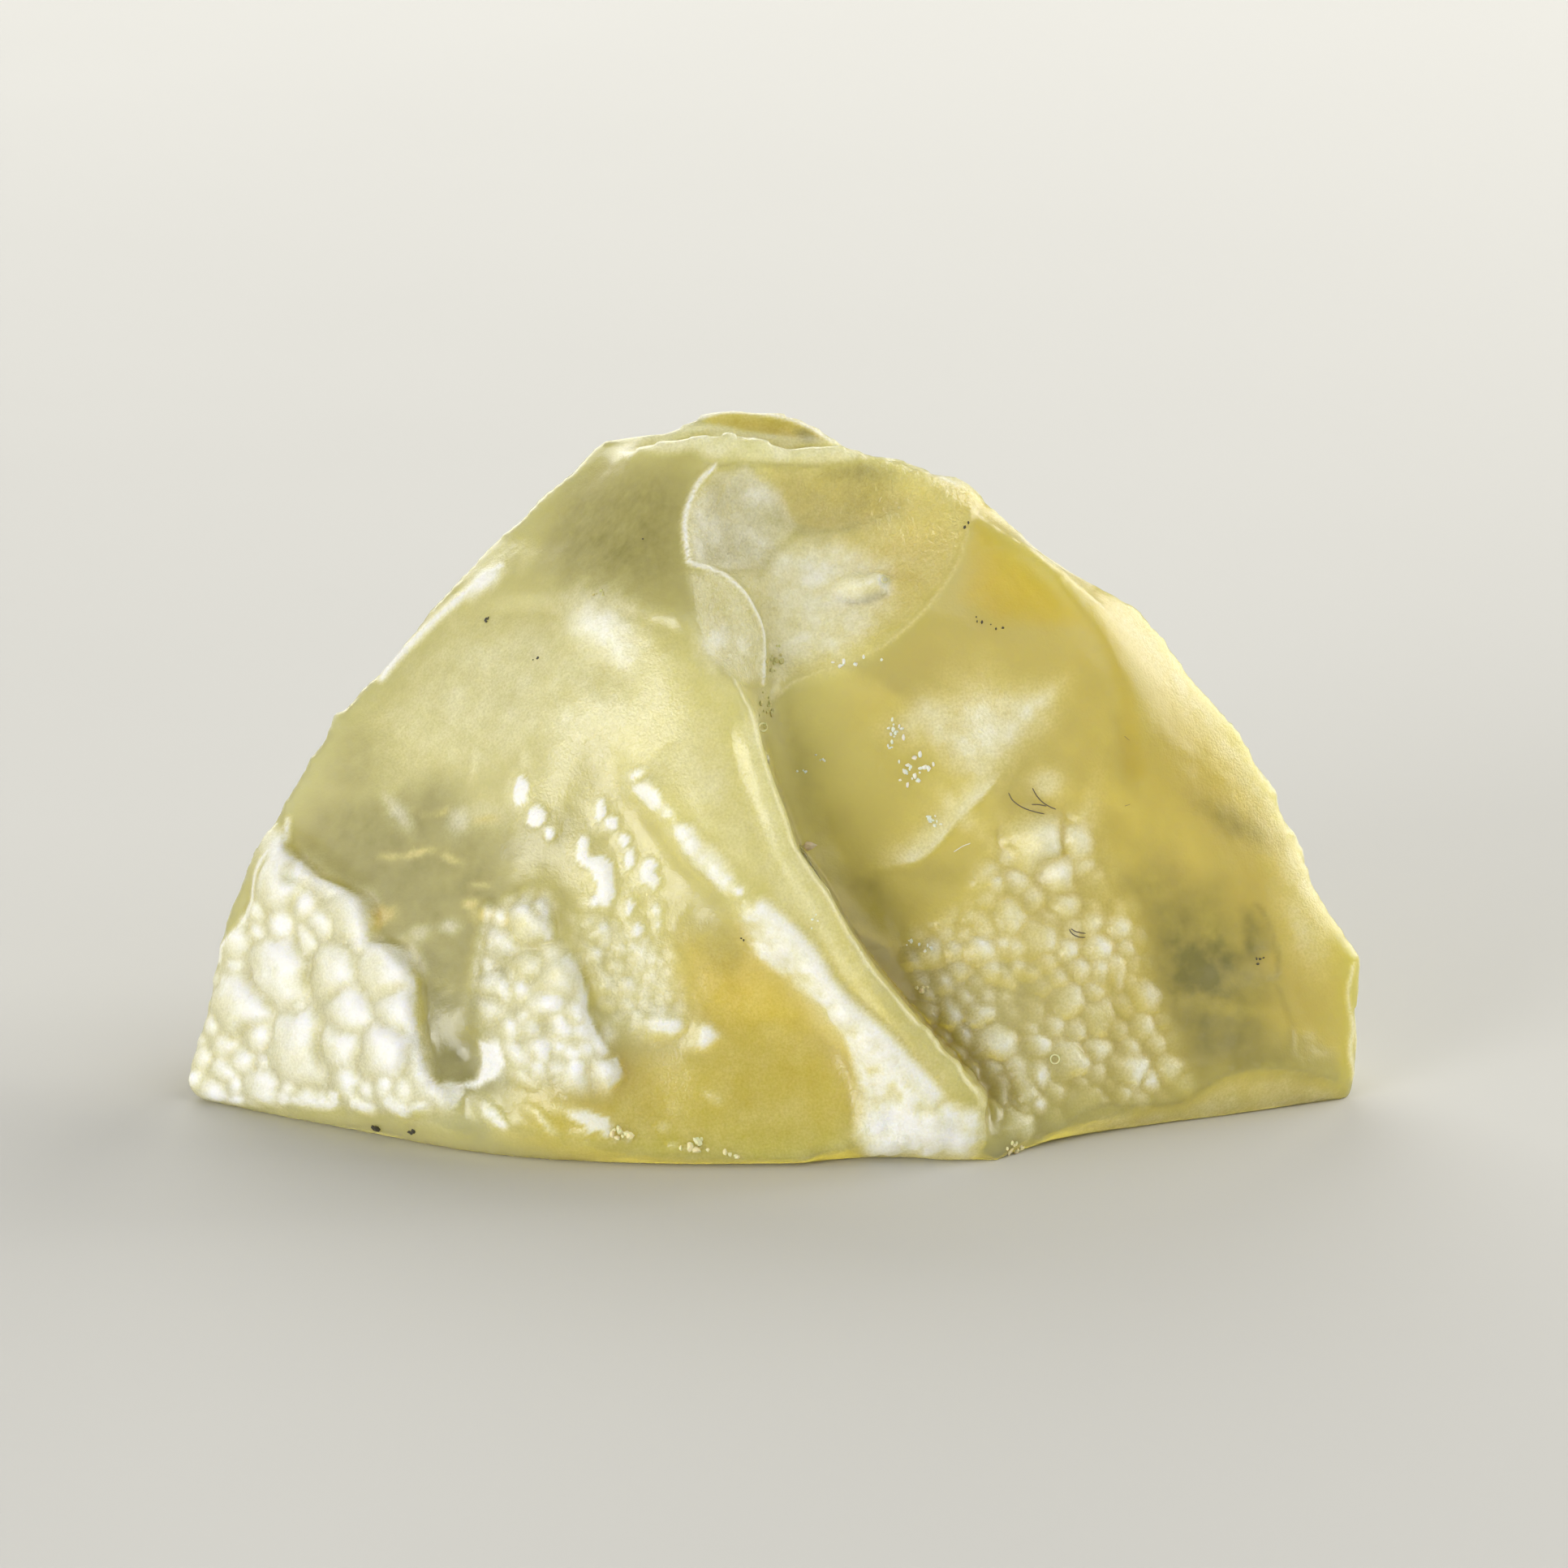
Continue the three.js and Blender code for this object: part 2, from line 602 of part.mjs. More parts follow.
// The solid that leaves a chip when it is cut away: a bowl with steep walls above its lip
function chipSolid(chip) {
  const outward = vector(chip.facing).normalize();
  const drawn = chip.lip ? chip.lip.map(vector) : roundLip(chip, outward);
  const curve = new THREE.CatmullRomCurve3(drawn, true, "centripetal");
  const lip = curve.getSpacedPoints(chip.sides ?? CHIP_SIDES).slice(0, -1);
  const middle = lip.reduce((sum, p) => sum.add(p), new THREE.Vector3()).divideScalar(lip.length);
  // One ring part of the way in from the lip, which flattens out towards the deepest point
  const ring = (share) => {
    const left = (1 - share) ** 2;
    return lip.map((point) => {
      const arm = point.clone().sub(middle);
      const lift = arm.dot(outward);
      return arm
        .addScaledVector(outward, -lift)
        .multiplyScalar(1 - share)
        .addScaledVector(outward, lift * left - chip.depth * (1 - left))
        .add(middle);
    });
  };
  const raise = (point) => point.clone().lerp(middle, -CHIP_FLARE).addScaledVector(outward, CHIP_WALL);
  const rings = [...CHIP_RINGS.map(ring), lip, lip.map(raise)];
  const bottom = middle.clone().addScaledVector(outward, -chip.depth);
  const top = middle.clone().addScaledVector(outward, 2 * CHIP_WALL);
  return solidOf(ringGeometry(rings, bottom, top));
}

// The finished solid as a geometry
function geometryOf(solid) {
  const mesh = solid.getMesh();
  const positions = new Float32Array(mesh.numVert * 3);
  for (let i = 0; i < mesh.numVert; i += 1) {
    positions.set(mesh.vertProperties.subarray(i * mesh.numProp, i * mesh.numProp + 3), i * 3);
  }
  return new THREE.BufferGeometry()
    .setAttribute("position", new THREE.BufferAttribute(positions, 3))
    .setIndex(new THREE.BufferAttribute(mesh.triVerts, 1));
}

// The glass: milky honey yellow, frosted by the sand
const desertGlass = new THREE.MeshStandardMaterial({
  color: 0xd8c878,
  roughness: 0.45,
  metalness: 0,
});

const rings = skinRings();
rings.push(...saddleRings(rings[rings.length - 1]));
addRelief(rings);
let stone = solidOf(ringGeometry(rings, RESTING_MIDDLE, SADDLE_MIDDLE));
for (const chip of chips) stone = stone.subtract(chipSolid(chip));

const geometry = geometryOf(stone);
geometry.computeVertexNormals();
const mesh = new THREE.Mesh(geometry, desertGlass);
mesh.name = "desert_glass";

const group = new THREE.Group();
group.add(mesh);
export default group;
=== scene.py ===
import math
import random

import bpy
import bmesh
import numpy as np
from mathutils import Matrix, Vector, noise
from mathutils.bvhtree import BVHTree
from mathutils.kdtree import KDTree


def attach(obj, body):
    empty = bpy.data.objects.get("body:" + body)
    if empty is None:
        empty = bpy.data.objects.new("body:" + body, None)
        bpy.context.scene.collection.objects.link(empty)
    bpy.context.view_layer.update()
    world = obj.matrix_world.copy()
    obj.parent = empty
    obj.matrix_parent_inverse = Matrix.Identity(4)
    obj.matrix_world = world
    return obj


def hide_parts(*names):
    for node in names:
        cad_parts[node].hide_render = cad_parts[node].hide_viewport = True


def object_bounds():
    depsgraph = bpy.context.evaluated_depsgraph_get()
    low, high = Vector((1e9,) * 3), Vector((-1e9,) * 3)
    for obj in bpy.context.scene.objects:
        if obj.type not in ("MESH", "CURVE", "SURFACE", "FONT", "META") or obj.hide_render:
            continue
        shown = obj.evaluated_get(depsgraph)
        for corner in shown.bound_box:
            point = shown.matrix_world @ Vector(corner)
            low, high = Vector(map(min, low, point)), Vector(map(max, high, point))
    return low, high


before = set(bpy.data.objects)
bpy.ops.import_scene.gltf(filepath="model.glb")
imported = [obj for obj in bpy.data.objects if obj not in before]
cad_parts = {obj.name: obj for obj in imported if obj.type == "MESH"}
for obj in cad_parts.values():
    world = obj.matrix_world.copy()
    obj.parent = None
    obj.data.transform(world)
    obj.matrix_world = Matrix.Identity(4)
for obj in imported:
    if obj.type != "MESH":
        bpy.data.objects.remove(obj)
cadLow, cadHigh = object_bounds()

# A raw piece of Libyan desert glass on a pale floor.
# Places on the front are given as (across, up) in mm on the picture plane, from the picture's centre.

shot = {
    "lookAt": (0.0003, 0.0, 0.011),
    "tiltDown": 15.0,
    "distance": 0.400,
    "lens": 258.2,
    "sensor": 36.0,
    "clip": (0.01, 20),
    # how far off the skin a line of sight starts, along the normal and toward the camera
    "skinGap": (0.00004, 0.00008),
}


def addObject(name, data):
    made = bpy.data.objects.new(name, data)
    bpy.context.scene.collection.objects.link(made)
    return made


def viewAxes():
    # where the camera's forward and upward point
    tilt = math.radians(shot["tiltDown"])
    return (0, math.cos(tilt), -math.sin(tilt)), (0, math.sin(tilt), math.cos(tilt))


def makeCamera():
    forward = Vector(viewAxes()[0])
    data = bpy.data.cameras.new("photoCamera")
    data.lens = shot["lens"]
    data.sensor_width = shot["sensor"]
    data.clip_start, data.clip_end = shot["clip"]
    camera = addObject("photoCamera", data)
    camera.location = Vector(shot["lookAt"]) - forward * shot["distance"]
    camera.rotation_mode = "QUATERNION"
    camera.rotation_quaternion = forward.to_track_quat("-Z", "Y")
    bpy.context.scene.camera = camera


makeCamera()
print("camera placed")


# Selecting and mesh helpers

def pickOnly(obj):
    bpy.ops.object.select_all(action="DESELECT")
    obj.select_set(True)
    bpy.context.view_layer.objects.active = obj


def readPoints(mesh):
    flat = np.empty(len(mesh.vertices) * 3, dtype=np.float32)
    mesh.vertices.foreach_get("co", flat)
    return flat.reshape(-1, 3).astype(np.float64)


def readNormals(mesh):
    flat = np.empty(len(mesh.vertices) * 3, dtype=np.float32)
    mesh.vertex_normals.foreach_get("vector", flat)
    return flat.reshape(-1, 3).astype(np.float64)


def writePoints(mesh, points):
    mesh.vertices.foreach_set("co", points.astype(np.float32).ravel())
    mesh.update()


def readEdges(mesh):
    flat = np.empty(len(mesh.edges) * 2, dtype=np.int32)
    mesh.edges.foreach_get("vertices", flat)
    return flat.reshape(-1, 2)


def neighbourMean(values, edges):
    a, b = edges[:, 0], edges[:, 1]
    count = np.bincount(a, minlength=len(values)) + np.bincount(b, minlength=len(values))
    columns = values.reshape(len(values), -1)
    out = np.empty_like(columns)
    for k in range(columns.shape[1]):
        total = np.bincount(a, weights=columns[b, k], minlength=len(values))
        total += np.bincount(b, weights=columns[a, k], minlength=len(values))
        out[:, k] = total / np.maximum(count, 1)
    return out.reshape(values.shape)


def relax(values, edges, rounds, share=0.5):
    for _ in range(rounds):
        mean = neighbourMean(values, edges)
        values = values + (mean - values) * share
    return values


def ease(x, low, high):
    t = np.clip((x - low) / (high - low), 0, 1)
    return t * t * (3 - 2 * t)


def fade(share, ends):
    # 1 along a line, easing to 0 at its ends
    return ease(share, 0, ends) * ease(1 - share, 0, ends)


def makeSmooth(obj):
    for polygon in obj.data.polygons:
        polygon.use_smooth = True


# The stone's body: the solid's mesh, remeshed finely and worn smooth

body = {
    "weld": 2e-6,
    "voxel": 0.0003,
    # edges sharper than this many degrees wear less, and wear comes back over this reach in mm
    "crispAngle": 33,
    "crispStep": 0.0002,
    "crispReach": (0.15, 0.8),
    "crispWear": 0.3,
    "wearRounds": 26,
    # zones that lose the solid's coarse lumps, broad faces that are smoothed longest, and their softness
    "coarseZones": (("plateauField", "middleField", "blobField", "cornerField", "smoothTop"), 0.5),
    "faceZones": (("upperFace", "troughFloor", "rightSoft", "dimpleFloor"), 0.7),
    "faceRounds": 110,
    "lastRounds": 3,
    "mostLost": 0.0006,
    "noiseSeed": 11,
}
noise.seed_set(body["noiseSeed"])


def copyOfSolid():
    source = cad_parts["desert_glass"]
    stone = addObject("glassStone", source.data.copy())
    stone.data.materials.clear()
    pickOnly(stone)
    bpy.ops.object.mode_set(mode="EDIT")
    bpy.ops.mesh.select_all(action="SELECT")
    bpy.ops.mesh.remove_doubles(threshold=body["weld"])
    bpy.ops.object.mode_set(mode="OBJECT")
    return stone


def crispPoints(mesh):
    # points along the solid's sharp edges, which wear less
    bm = bmesh.new()
    bm.from_mesh(mesh)
    found = []
    limit = math.radians(body["crispAngle"])
    for edge in bm.edges:
        if len(edge.link_faces) == 2 and edge.calc_face_angle(0) > limit:
            a, b = edge.verts[0].co, edge.verts[1].co
            steps = max(2, int((b - a).length / body["crispStep"]))
            found += [a.lerp(b, i / steps) for i in range(steps + 1)]
    bm.free()
    return found


stone = copyOfSolid()
crisp = crispPoints(stone.data)
remesh = stone.modifiers.new("evenGrid", "REMESH")
remesh.mode = "VOXEL"
remesh.voxel_size = body["voxel"]
remesh.use_smooth_shade = True
pickOnly(stone)
bpy.ops.object.modifier_apply(modifier="evenGrid")
print("stone remeshed:", len(stone.data.polygons), "faces")


# Sight: where each vertex lies in the picture

def sightOf(points):
    forward, upward = (np.array(axis) for axis in viewAxes())
    eye = np.array(shot["lookAt"]) - forward * shot["distance"]
    offset = points - eye
    depth = offset @ forward
    scale = shot["distance"] * 1000 / depth
    return np.stack([offset[:, 0] * scale, (offset @ upward) * scale], 1), eye


def seenShare(obj, points, normals, eye):
    # 1 where the camera sees the vertex, 0 where the stone hides it
    mesh = obj.data
    mesh.calc_loop_triangles()
    tris = np.empty(len(mesh.loop_triangles) * 3, dtype=np.int32)
    mesh.loop_triangles.foreach_get("vertices", tris)
    tree = BVHTree.FromPolygons(points.tolist(), tris.reshape(-1, 3).tolist())
    toEye = eye - points
    toEye /= np.linalg.norm(toEye, axis=1)[:, None]
    facing = (toEye * normals).sum(1)
    seen = np.zeros(len(points))
    off, toward = shot["skinGap"]
    for i in np.nonzero(facing > 0.0)[0]:
        start = Vector(points[i] + normals[i] * off + toEye[i] * toward)
        if tree.ray_cast(start, Vector(toEye[i]))[0] is None:
            seen[i] = 1
    return seen


lines = {
    "plateauScarp": [(-17.52, -1.41), (-17.7, -2.19), (-16.92, -2.94), (-16.37, -3.41), (-15.47, -3.81),
                     (-14.84, -4.21), (-14.52, -4.88), (-14.61, -5.6), (-13.6, -5.83), (-13.11, -6.61),
                     (-12.93, -7.59), (-12.93, -8.6), (-12.73, -9.7), (-12.38, -10.48), (-11.84, -11.03),
                     (-11.66, -11.69)],
    "middleScarpUpper": [(-8.55, -4.01), (-8.26, -4.73), (-8.17, -5.6)],
    "middleScarp": [(-7.68, -5.89), (-7.25, -6.61), (-7.02, -7.33), (-6.9, -8.2), (-6.52, -9.06),
                    (-6.09, -9.64)],
    "middleScarpFoot": [(-5.95, -9.64), (-5.8, -10.36), (-6.24, -10.94)],
    "leftEdgeLow": [(-17.64, -1.27), (-17.73, -2.14), (-18.22, -2.57), (-18.59, -3.29), (-18.85, -4.16),
                    (-19.23, -5.02), (-19.8, -5.74), (-20.03, -6.32)],
    "leftEdgeHigh": [(-9.99, 7.68), (-11.14, 6.87), (-12.3, 5.95), (-13.31, 4.94), (-14.32, 3.78)],
    "shoulderEdge": [(-12.59, 5.95), (-9.99, 6.38), (-7.68, 6.38), (-5.08, 6.24), (-3.35, 5.37),
                     (-1.91, 3.93), (-0.75, 1.04)],
    "upperScoopLeft": [(-2.48, 11.29), (-3.03, 10.74), (-3.44, 9.84), (-3.55, 9.09), (-3.44, 8.08),
                       (-3.32, 7.82), (-2.48, 7.59)],
    "upperScoopLow": [(-2.48, 7.59), (-1.93, 7.22), (-1.39, 6.67), (-1.01, 5.89), (-0.84, 5.23),
                      (-0.89, 4.1), (-0.84, 3.55)],
    "upperScoopRight": [(6.67, 10.36), (6.58, 9.3), (6.29, 8.2), (5.8, 7.22), (4.91, 6.09), (3.81, 5.11),
                        (2.48, 4.39), (1.15, 3.95), (0.26, 3.55), (-0.61, 2.89)],
    "almondLeft": [(-3.44, 7.53), (-3.26, 6.21), (-2.92, 4.99), (-2.17, 4.01), (-1.5, 3.55)],
    "crestLine": [(-5.69, 11.78), (-4.91, 12.3), (-4.04, 12.5), (-3.03, 12.64), (-2.17, 12.59),
                  (-1.5, 12.38), (-0.61, 12.27), (0.72, 12.24), (1.82, 12.15), (2.92, 11.98), (3.38, 11.84)],
    "scoopTop": [(-3.26, 11.29), (-2.37, 11.32), (-0.49, 11.37), (0.92, 11.32), (2.25, 11.46),
                 (2.92, 11.72), (3.81, 11.72)],
    "ridgeEdge": [(-1.04, 3.55), (-0.95, 1.91), (-0.61, 0.58), (-0.06, -0.95), (0.49, -2.4),
                  (1.39, -3.72), (2.05, -4.94), (2.92, -6.5), (3.93, -7.71), (4.79, -8.69), (5.8, -9.82),
                  (6.58, -10.8), (6.96, -11.58), (7.07, -12.36), (6.96, -13.02), (6.67, -13.45)],
    "roughBand": [(-5.37, 0.35), (-4.47, -0.52), (-3.81, -1.73), (-3.03, -2.74), (-2.17, -3.49),
                  (-1.5, -4.39), (-0.61, -4.94), (0.06, -5.83), (0.72, -6.73), (1.5, -7.48), (2.25, -8.37),
                  (2.83, -9.35), (3.38, -10.36), (4.04, -11.14), (4.79, -11.89), (6.03, -12.79)],
    "slickLine": [(-3.35, -4.16), (-3.93, -5.31), (-3.49, -6.76), (-2.77, -8.2), (-2.48, -8.63)],
    "creaseUpper": [(-10.57, -6.03), (-9.41, -5.89), (-8.11, -5.74)],
    "creaseLower": [(-9.41, -8.49), (-8.26, -8.55), (-7.1, -8.63)],
    "softRidge": [(6.61, 10.28), (8.78, 8.83), (10.8, 7.1), (11.66, 5.08), (12.1, 3.35), (12.53, 0.46)],
    "darkCrease": [(11.66, 2.77), (12.1, 1.62), (12.24, 0.46), (12.53, -0.98)],
    "crestBand": [(7.62, 9.7), (9.21, 8.4), (10.8, 7.25)],
    "rightBevel": [(11.37, 7.1), (12.53, 5.95), (13.68, 3.93), (14.84, 1.91)],
    "sideLine": [(15.13, -0.26), (15.56, -1.27), (16.28, -2.42), (16.86, -3.87), (17.32, -5.02),
                 (17.49, -6.18)],
    "uprightEdge": [(17.15, -6.76), (17.38, -6.96), (17.78, -7.88), (18.04, -8.92), (17.98, -9.96)],
    "endBevel": [(19.89, -6.47), (20.27, -7.48), (20.09, -8.49), (20.15, -9.64), (19.89, -10.8)],
    "scallop": [(9.32, -12.64), (9.84, -12.21), (10.57, -11.69), (11.29, -11.43), (12.53, -11.4),
                (13.97, -11.35), (14.58, -11.03), (15.21, -10.62), (15.82, -10.31), (16.86, -10.08),
                (17.9, -10.16), (18.91, -10.36), (19.75, -10.68), (20.15, -10.97)],
    "lobeEdge": [(-0.52, 10.45), (-0.29, 9.93), (0.29, 9.24), (1.44, 9.01), (2.71, 9.24), (3.98, 9.82),
                 (4.73, 10.57)],
    "bumpFoot": [(1.75, 6.95), (2.0, 6.6), (2.5, 6.5), (3.06, 6.6), (3.5, 6.72), (3.85, 6.95)],
    "outlineRim": [(3.75, 11.72), (4.73, 11.37), (5.6, 10.97), (6.47, 10.57), (7.33, 10.05), (8.2, 9.18),
                   (9.06, 8.2), (9.93, 7.68), (10.8, 7.27)],
    "dimpleEdge": [(16.28, -4.16), (16.89, -4.36), (17.23, -4.97), (17.49, -5.69), (17.58, -6.41),
                   (17.44, -6.9), (16.77, -6.78), (16.22, -6.47)],
    "facetEdge": [(16.51, -6.96), (17.12, -6.96), (17.55, -7.25), (17.9, -8.11), (18.22, -8.95)],
    "endLine": [(20.24, -6.47), (20.06, -7.39), (20.15, -8.57), (20.06, -9.56), (20.24, -10.51)],
    "bandRight": [(-1.18, -3.81), (-0.66, -4.04), (0.12, -4.68), (0.84, -5.43), (1.39, -6.12),
                  (1.85, -6.93), (2.6, -7.74), (3.35, -8.43), (4.01, -9.06), (4.59, -9.7), (5.31, -10.45),
                  (6.03, -11.32)],
    "scoopLipCrisp": [(8.55, 1.27), (7.79, 0.4), (7.25, -0.29), (6.18, -1.36), (5.08, -2.57),
                      (4.01, -2.92), (2.71, -3.06)],
    "backRimTop": [(-3.2, 13.0), (-2.14, 13.28), (-1.04, 13.24), (-0.17, 13.1), (0.69, 12.8),
                   (1.33, 12.42), (1.73, 12.1)],
}

zones = {
    "plateauField": [(-17.7, -2.19), (-16.37, -3.41), (-14.84, -4.21), (-14.52, -5.31), (-13.11, -6.61),
                     (-12.93, -8.6), (-12.38, -10.48), (-11.66, -11.69), (-14.03, -11.72),
                     (-18.36, -11.43), (-20.79, -11.35), (-21.28, -10.62), (-20.32, -7.59),
                     (-19.92, -5.74), (-18.85, -4.16)],
    "middleField": [(-10.57, -4.45), (-8.83, -3.87), (-7.97, -5.31), (-6.9, -8.2), (-5.8, -10.36),
                    (-6.24, -11.09), (-7.68, -11.09), (-9.41, -10.51), (-10.57, -9.35), (-11.14, -7.62)],
    "blobField": [(-7.68, -4.73), (-5.08, -4.73), (-3.93, -6.18), (-3.35, -8.2), (-4.79, -9.06),
                  (-5.95, -8.2), (-7.1, -6.47)],
    "cornerField": [(7.91, -1.27), (10.8, -0.98), (11.66, -3.29), (12.24, -4.45), (12.96, -7.04),
                    (13.97, -9.35), (14.26, -10.65), (12.53, -11.37), (10.57, -11.69), (9.32, -12.64),
                    (7.91, -13.11), (7.13, -12.38), (6.47, -10.51), (4.45, -7.91), (4.45, -5.31),
                    (6.76, -4.16), (7.19, -2.42)],
    "upperScoop": [(-2.48, 11.29), (-3.44, 9.84), (-3.55, 9.09), (-3.32, 7.82), (-2.48, 7.59),
                   (-1.39, 6.67), (-0.84, 5.23), (-0.84, 3.55), (1.15, 3.95), (3.81, 5.11), (5.8, 7.22),
                   (6.58, 9.3), (6.67, 10.36), (3.81, 11.66), (0.92, 11.32)],
    "almond": [(-3.44, 7.53), (-2.48, 7.59), (-1.39, 6.67), (-0.84, 5.23), (-0.89, 3.64), (-1.5, 3.55),
               (-2.17, 4.01), (-2.92, 4.99), (-3.26, 6.21)],
    "scoopFrost": [(-2.48, 11.14), (-3.44, 9.84), (-3.55, 9.09), (-3.32, 7.82), (-2.48, 7.59),
                   (-0.75, 7.68), (0.55, 9.12), (-0.17, 10.57), (-1.33, 11.29)],
    "scoopClear": [(-0.46, 11.29), (-0.17, 9.99), (0.69, 9.06), (2.42, 9.12), (4.16, 9.41),
                   (4.16, 11.14), (2.71, 11.58), (0.98, 11.29)],
    "hollowFrost": [(5.02, 3.06), (8.2, 3.35), (9.93, 3.64), (9.35, 2.19), (8.05, 1.04), (7.48, 0.12),
                    (6.76, -0.06), (6.03, 0.46), (5.31, 1.33), (3.58, 1.91)],
    "goldPatch": [(6.76, 9.7), (8.49, 8.55), (10.51, 7.1), (11.66, 4.79), (10.51, 5.37), (7.62, 5.66),
                  (6.18, 6.52), (6.47, 7.97)],
    "slickFloor": [(-3.35, -5.7), (-1.3, -5.5), (0.69, -7.62), (2.71, -10.51), (2.9, -12.53),
                   (2.6, -14.0), (-3.0, -14.1), (-7.5, -13.3), (-9.5, -12.3), (-9.0, -11.2), (-6.8, -11.3),
                   (-5.9, -9.9), (-3.06, -9.35), (-3.35, -6.76)],
    "oliveZone": [(-16.34, -0.98), (-12.3, 0.17), (-9.99, -2.42), (-9.41, -4.45), (-10.57, -5.6),
                  (-13.45, -5.31), (-14.61, -4.16), (-17.21, -2.42)],
    "oliveCorner": [(12.53, -3.87), (15.42, -3.58), (17.15, -6.76), (17.15, -9.64), (14.84, -10.22),
                    (13.68, -8.2)],
    "oliveTop": [(-7.68, 10.57), (-3.35, 11.72), (-3.35, 7.68), (-3.93, 6.38), (-7.1, 6.52),
                 (-7.97, 8.26)],
    "paleFace": [(-14.32, 2.48), (-11.72, 5.66), (-7.68, 6.18), (-4.79, 5.66), (-2.48, 3.06),
                 (-1.33, 0.46), (-0.17, -3.29), (-1.91, -3.29), (-4.21, -0.4), (-7.68, 1.04),
                 (-11.72, 0.46), (-14.03, 0.17)],
    "paleSkin": [(-1.91, 1.91), (-1.04, 2.48), (-0.17, -0.98), (1.27, -3.87), (3.87, -7.91),
                 (6.47, -11.09), (5.31, -10.94), (2.42, -7.62), (-0.17, -4.73), (-1.76, -0.98)],
    "brightSpot": [(-7.97, 6.18), (-5.95, 6.24), (-4.79, 5.08), (-5.43, 3.7), (-6.67, 4.45), (-7.68, 5.37)],
    "bandLower": [(-1.67, -4.79), (-1.27, -4.39), (-0.69, -4.27), (0, -5.14), (0.87, -5.46), (1.33, -6.06),
                  (1.88, -7.04), (2.71, -7.91), (3.58, -8.55), (4.24, -9.64), (4.62, -10.51),
                  (5.66, -11.14), (6.76, -11.72), (7.07, -12.47), (6.76, -13.39), (2.89, -13.34),
                  (2.75, -11.95), (2.65, -10.51), (2.3, -9.35), (1.5, -8.08), (0.35, -7.22),
                  (-0.95, -6.12)],
    "scoopSheen": [(-0.61, 8.55), (1.85, 8.83), (3.87, 7.97), (4.16, 5.95), (2.14, 4.36), (-0.17, 3.93),
                   (-0.75, 5.37)],
    "rightPale": [(11.09, 7.25), (12.53, 6.81), (14.55, 3.93), (17.15, 0.17), (18.59, -2.71),
                  (19.6, -4.88), (18.01, -3.87), (16.28, -0.12), (13.68, 3.35), (11.95, 5.66)],
    "smoothTop": [(-10.57, 8.83), (-7.68, 11.14), (-5.95, 12.01), (-3.49, 12.15), (-3.35, 10.57),
                  (-3.78, 8.83), (-3.58, 7.53), (-3.35, 6.38), (-5.08, 6.38), (-7.68, 6.52),
                  (-10.57, 6.47), (-12.15, 6.24)],
    "backRim": [(-2.89, 13.48), (-1.76, 13.48), (-0.46, 13.37), (0.55, 13.02), (1.21, 12.59),
                (1.56, 12.21), (0.55, 12.27), (-0.75, 12.53), (-1.91, 12.76), (-2.77, 12.88)],
    "backRimDark": [(-4.45, 13.11), (-3.64, 13.25), (-2.83, 13.31), (-2.83, 12.88), (-3.64, 12.76),
                    (-4.33, 12.7)],
    "crestPale": [(-5.37, 11.95), (-4.45, 12.36), (-3.64, 12.59), (-2.25, 12.59), (-0.64, 12.24),
                  (1.67, 12.12), (3.29, 11.84), (4.45, 11.55), (3.29, 11.58), (1.44, 11.37), (-0.46, 11.4),
                  (-1.33, 11.49), (-2.48, 11.55), (-3.29, 11.84), (-4.21, 11.72)],
    "bowlFacet": [(-10.94, -9.1), (-10.05, -9.15), (-9.82, -9.96), (-10.2, -10.45), (-10.9, -10.8),
                  (-11.6, -10.85), (-12.1, -10.6), (-11.5, -10.62), (-11.0, -10.5), (-10.85, -9.96)],
    "bowlFloor": [(-12.41, -9.24), (-11.72, -9.01), (-10.97, -9.24), (-10.85, -9.96), (-10.83, -10.48),
                  (-11.49, -10.54), (-11.95, -10.08)],
    "ridgeFoot": [(2.71, -11.72), (3.75, -10.68), (4.45, -11.09), (5.31, -11.32), (6.18, -11.61),
                  (6.93, -12.24), (6.84, -13.19), (6.47, -13.51), (4.73, -13.05), (2.83, -12.88),
                  (2.42, -12.41)],
    "upperFace": [(-10.3, 6.9), (-9.4, 8.6), (-7.6, 10.2), (-5.9, 11.4), (-3.78, 11.5), (-3.41, 10.28),
                  (-3.78, 8.83), (-3.58, 7.53), (-3.49, 6.67), (-5.08, 6.45), (-7.68, 6.4)],
    "bandTop": [(-3.87, -1.5), (-3.29, -1.39), (-2.48, -2.14), (-1.76, -3.06), (-1.5, -3.81),
                (-2.02, -3.98), (-2.71, -3.41), (-3.35, -2.48)],
    "troughFloor": [(-13.45, -4.16), (-11.72, -3.58), (-9.99, -4.45), (-9.41, -6.18), (-10.2, -8.8),
                    (-9.6, -9.6), (-9.8, -10.8), (-11.2, -11.3), (-12.5, -10.8), (-12.6, -9.2),
                    (-13.02, -6.76)],
    "rightSoft": [(9.5, 6.9), (11.0, 7.2), (12.53, 5.08), (13.97, 3.06), (15.13, 0.17), (15.7, -3.29),
                  (13.97, -3.87), (12.53, 0.17), (10.6, 3.06), (9.5, 5.2)],
    "scallopFacet": [(9.84, -12.6), (11.3, -11.7), (13.97, -11.6), (15.8, -10.6), (17.9, -10.4),
                     (19.75, -10.9), (19.9, -12.0), (14.0, -12.7), (9.5, -13.5)],
    "dimpleFloor": [(15.42, -3.58), (17.15, -3.44), (18.3, -4.73), (18.65, -7.04), (18.01, -9.35),
                    (16.28, -8.78), (15.42, -6.76), (15.07, -5.02)],
}

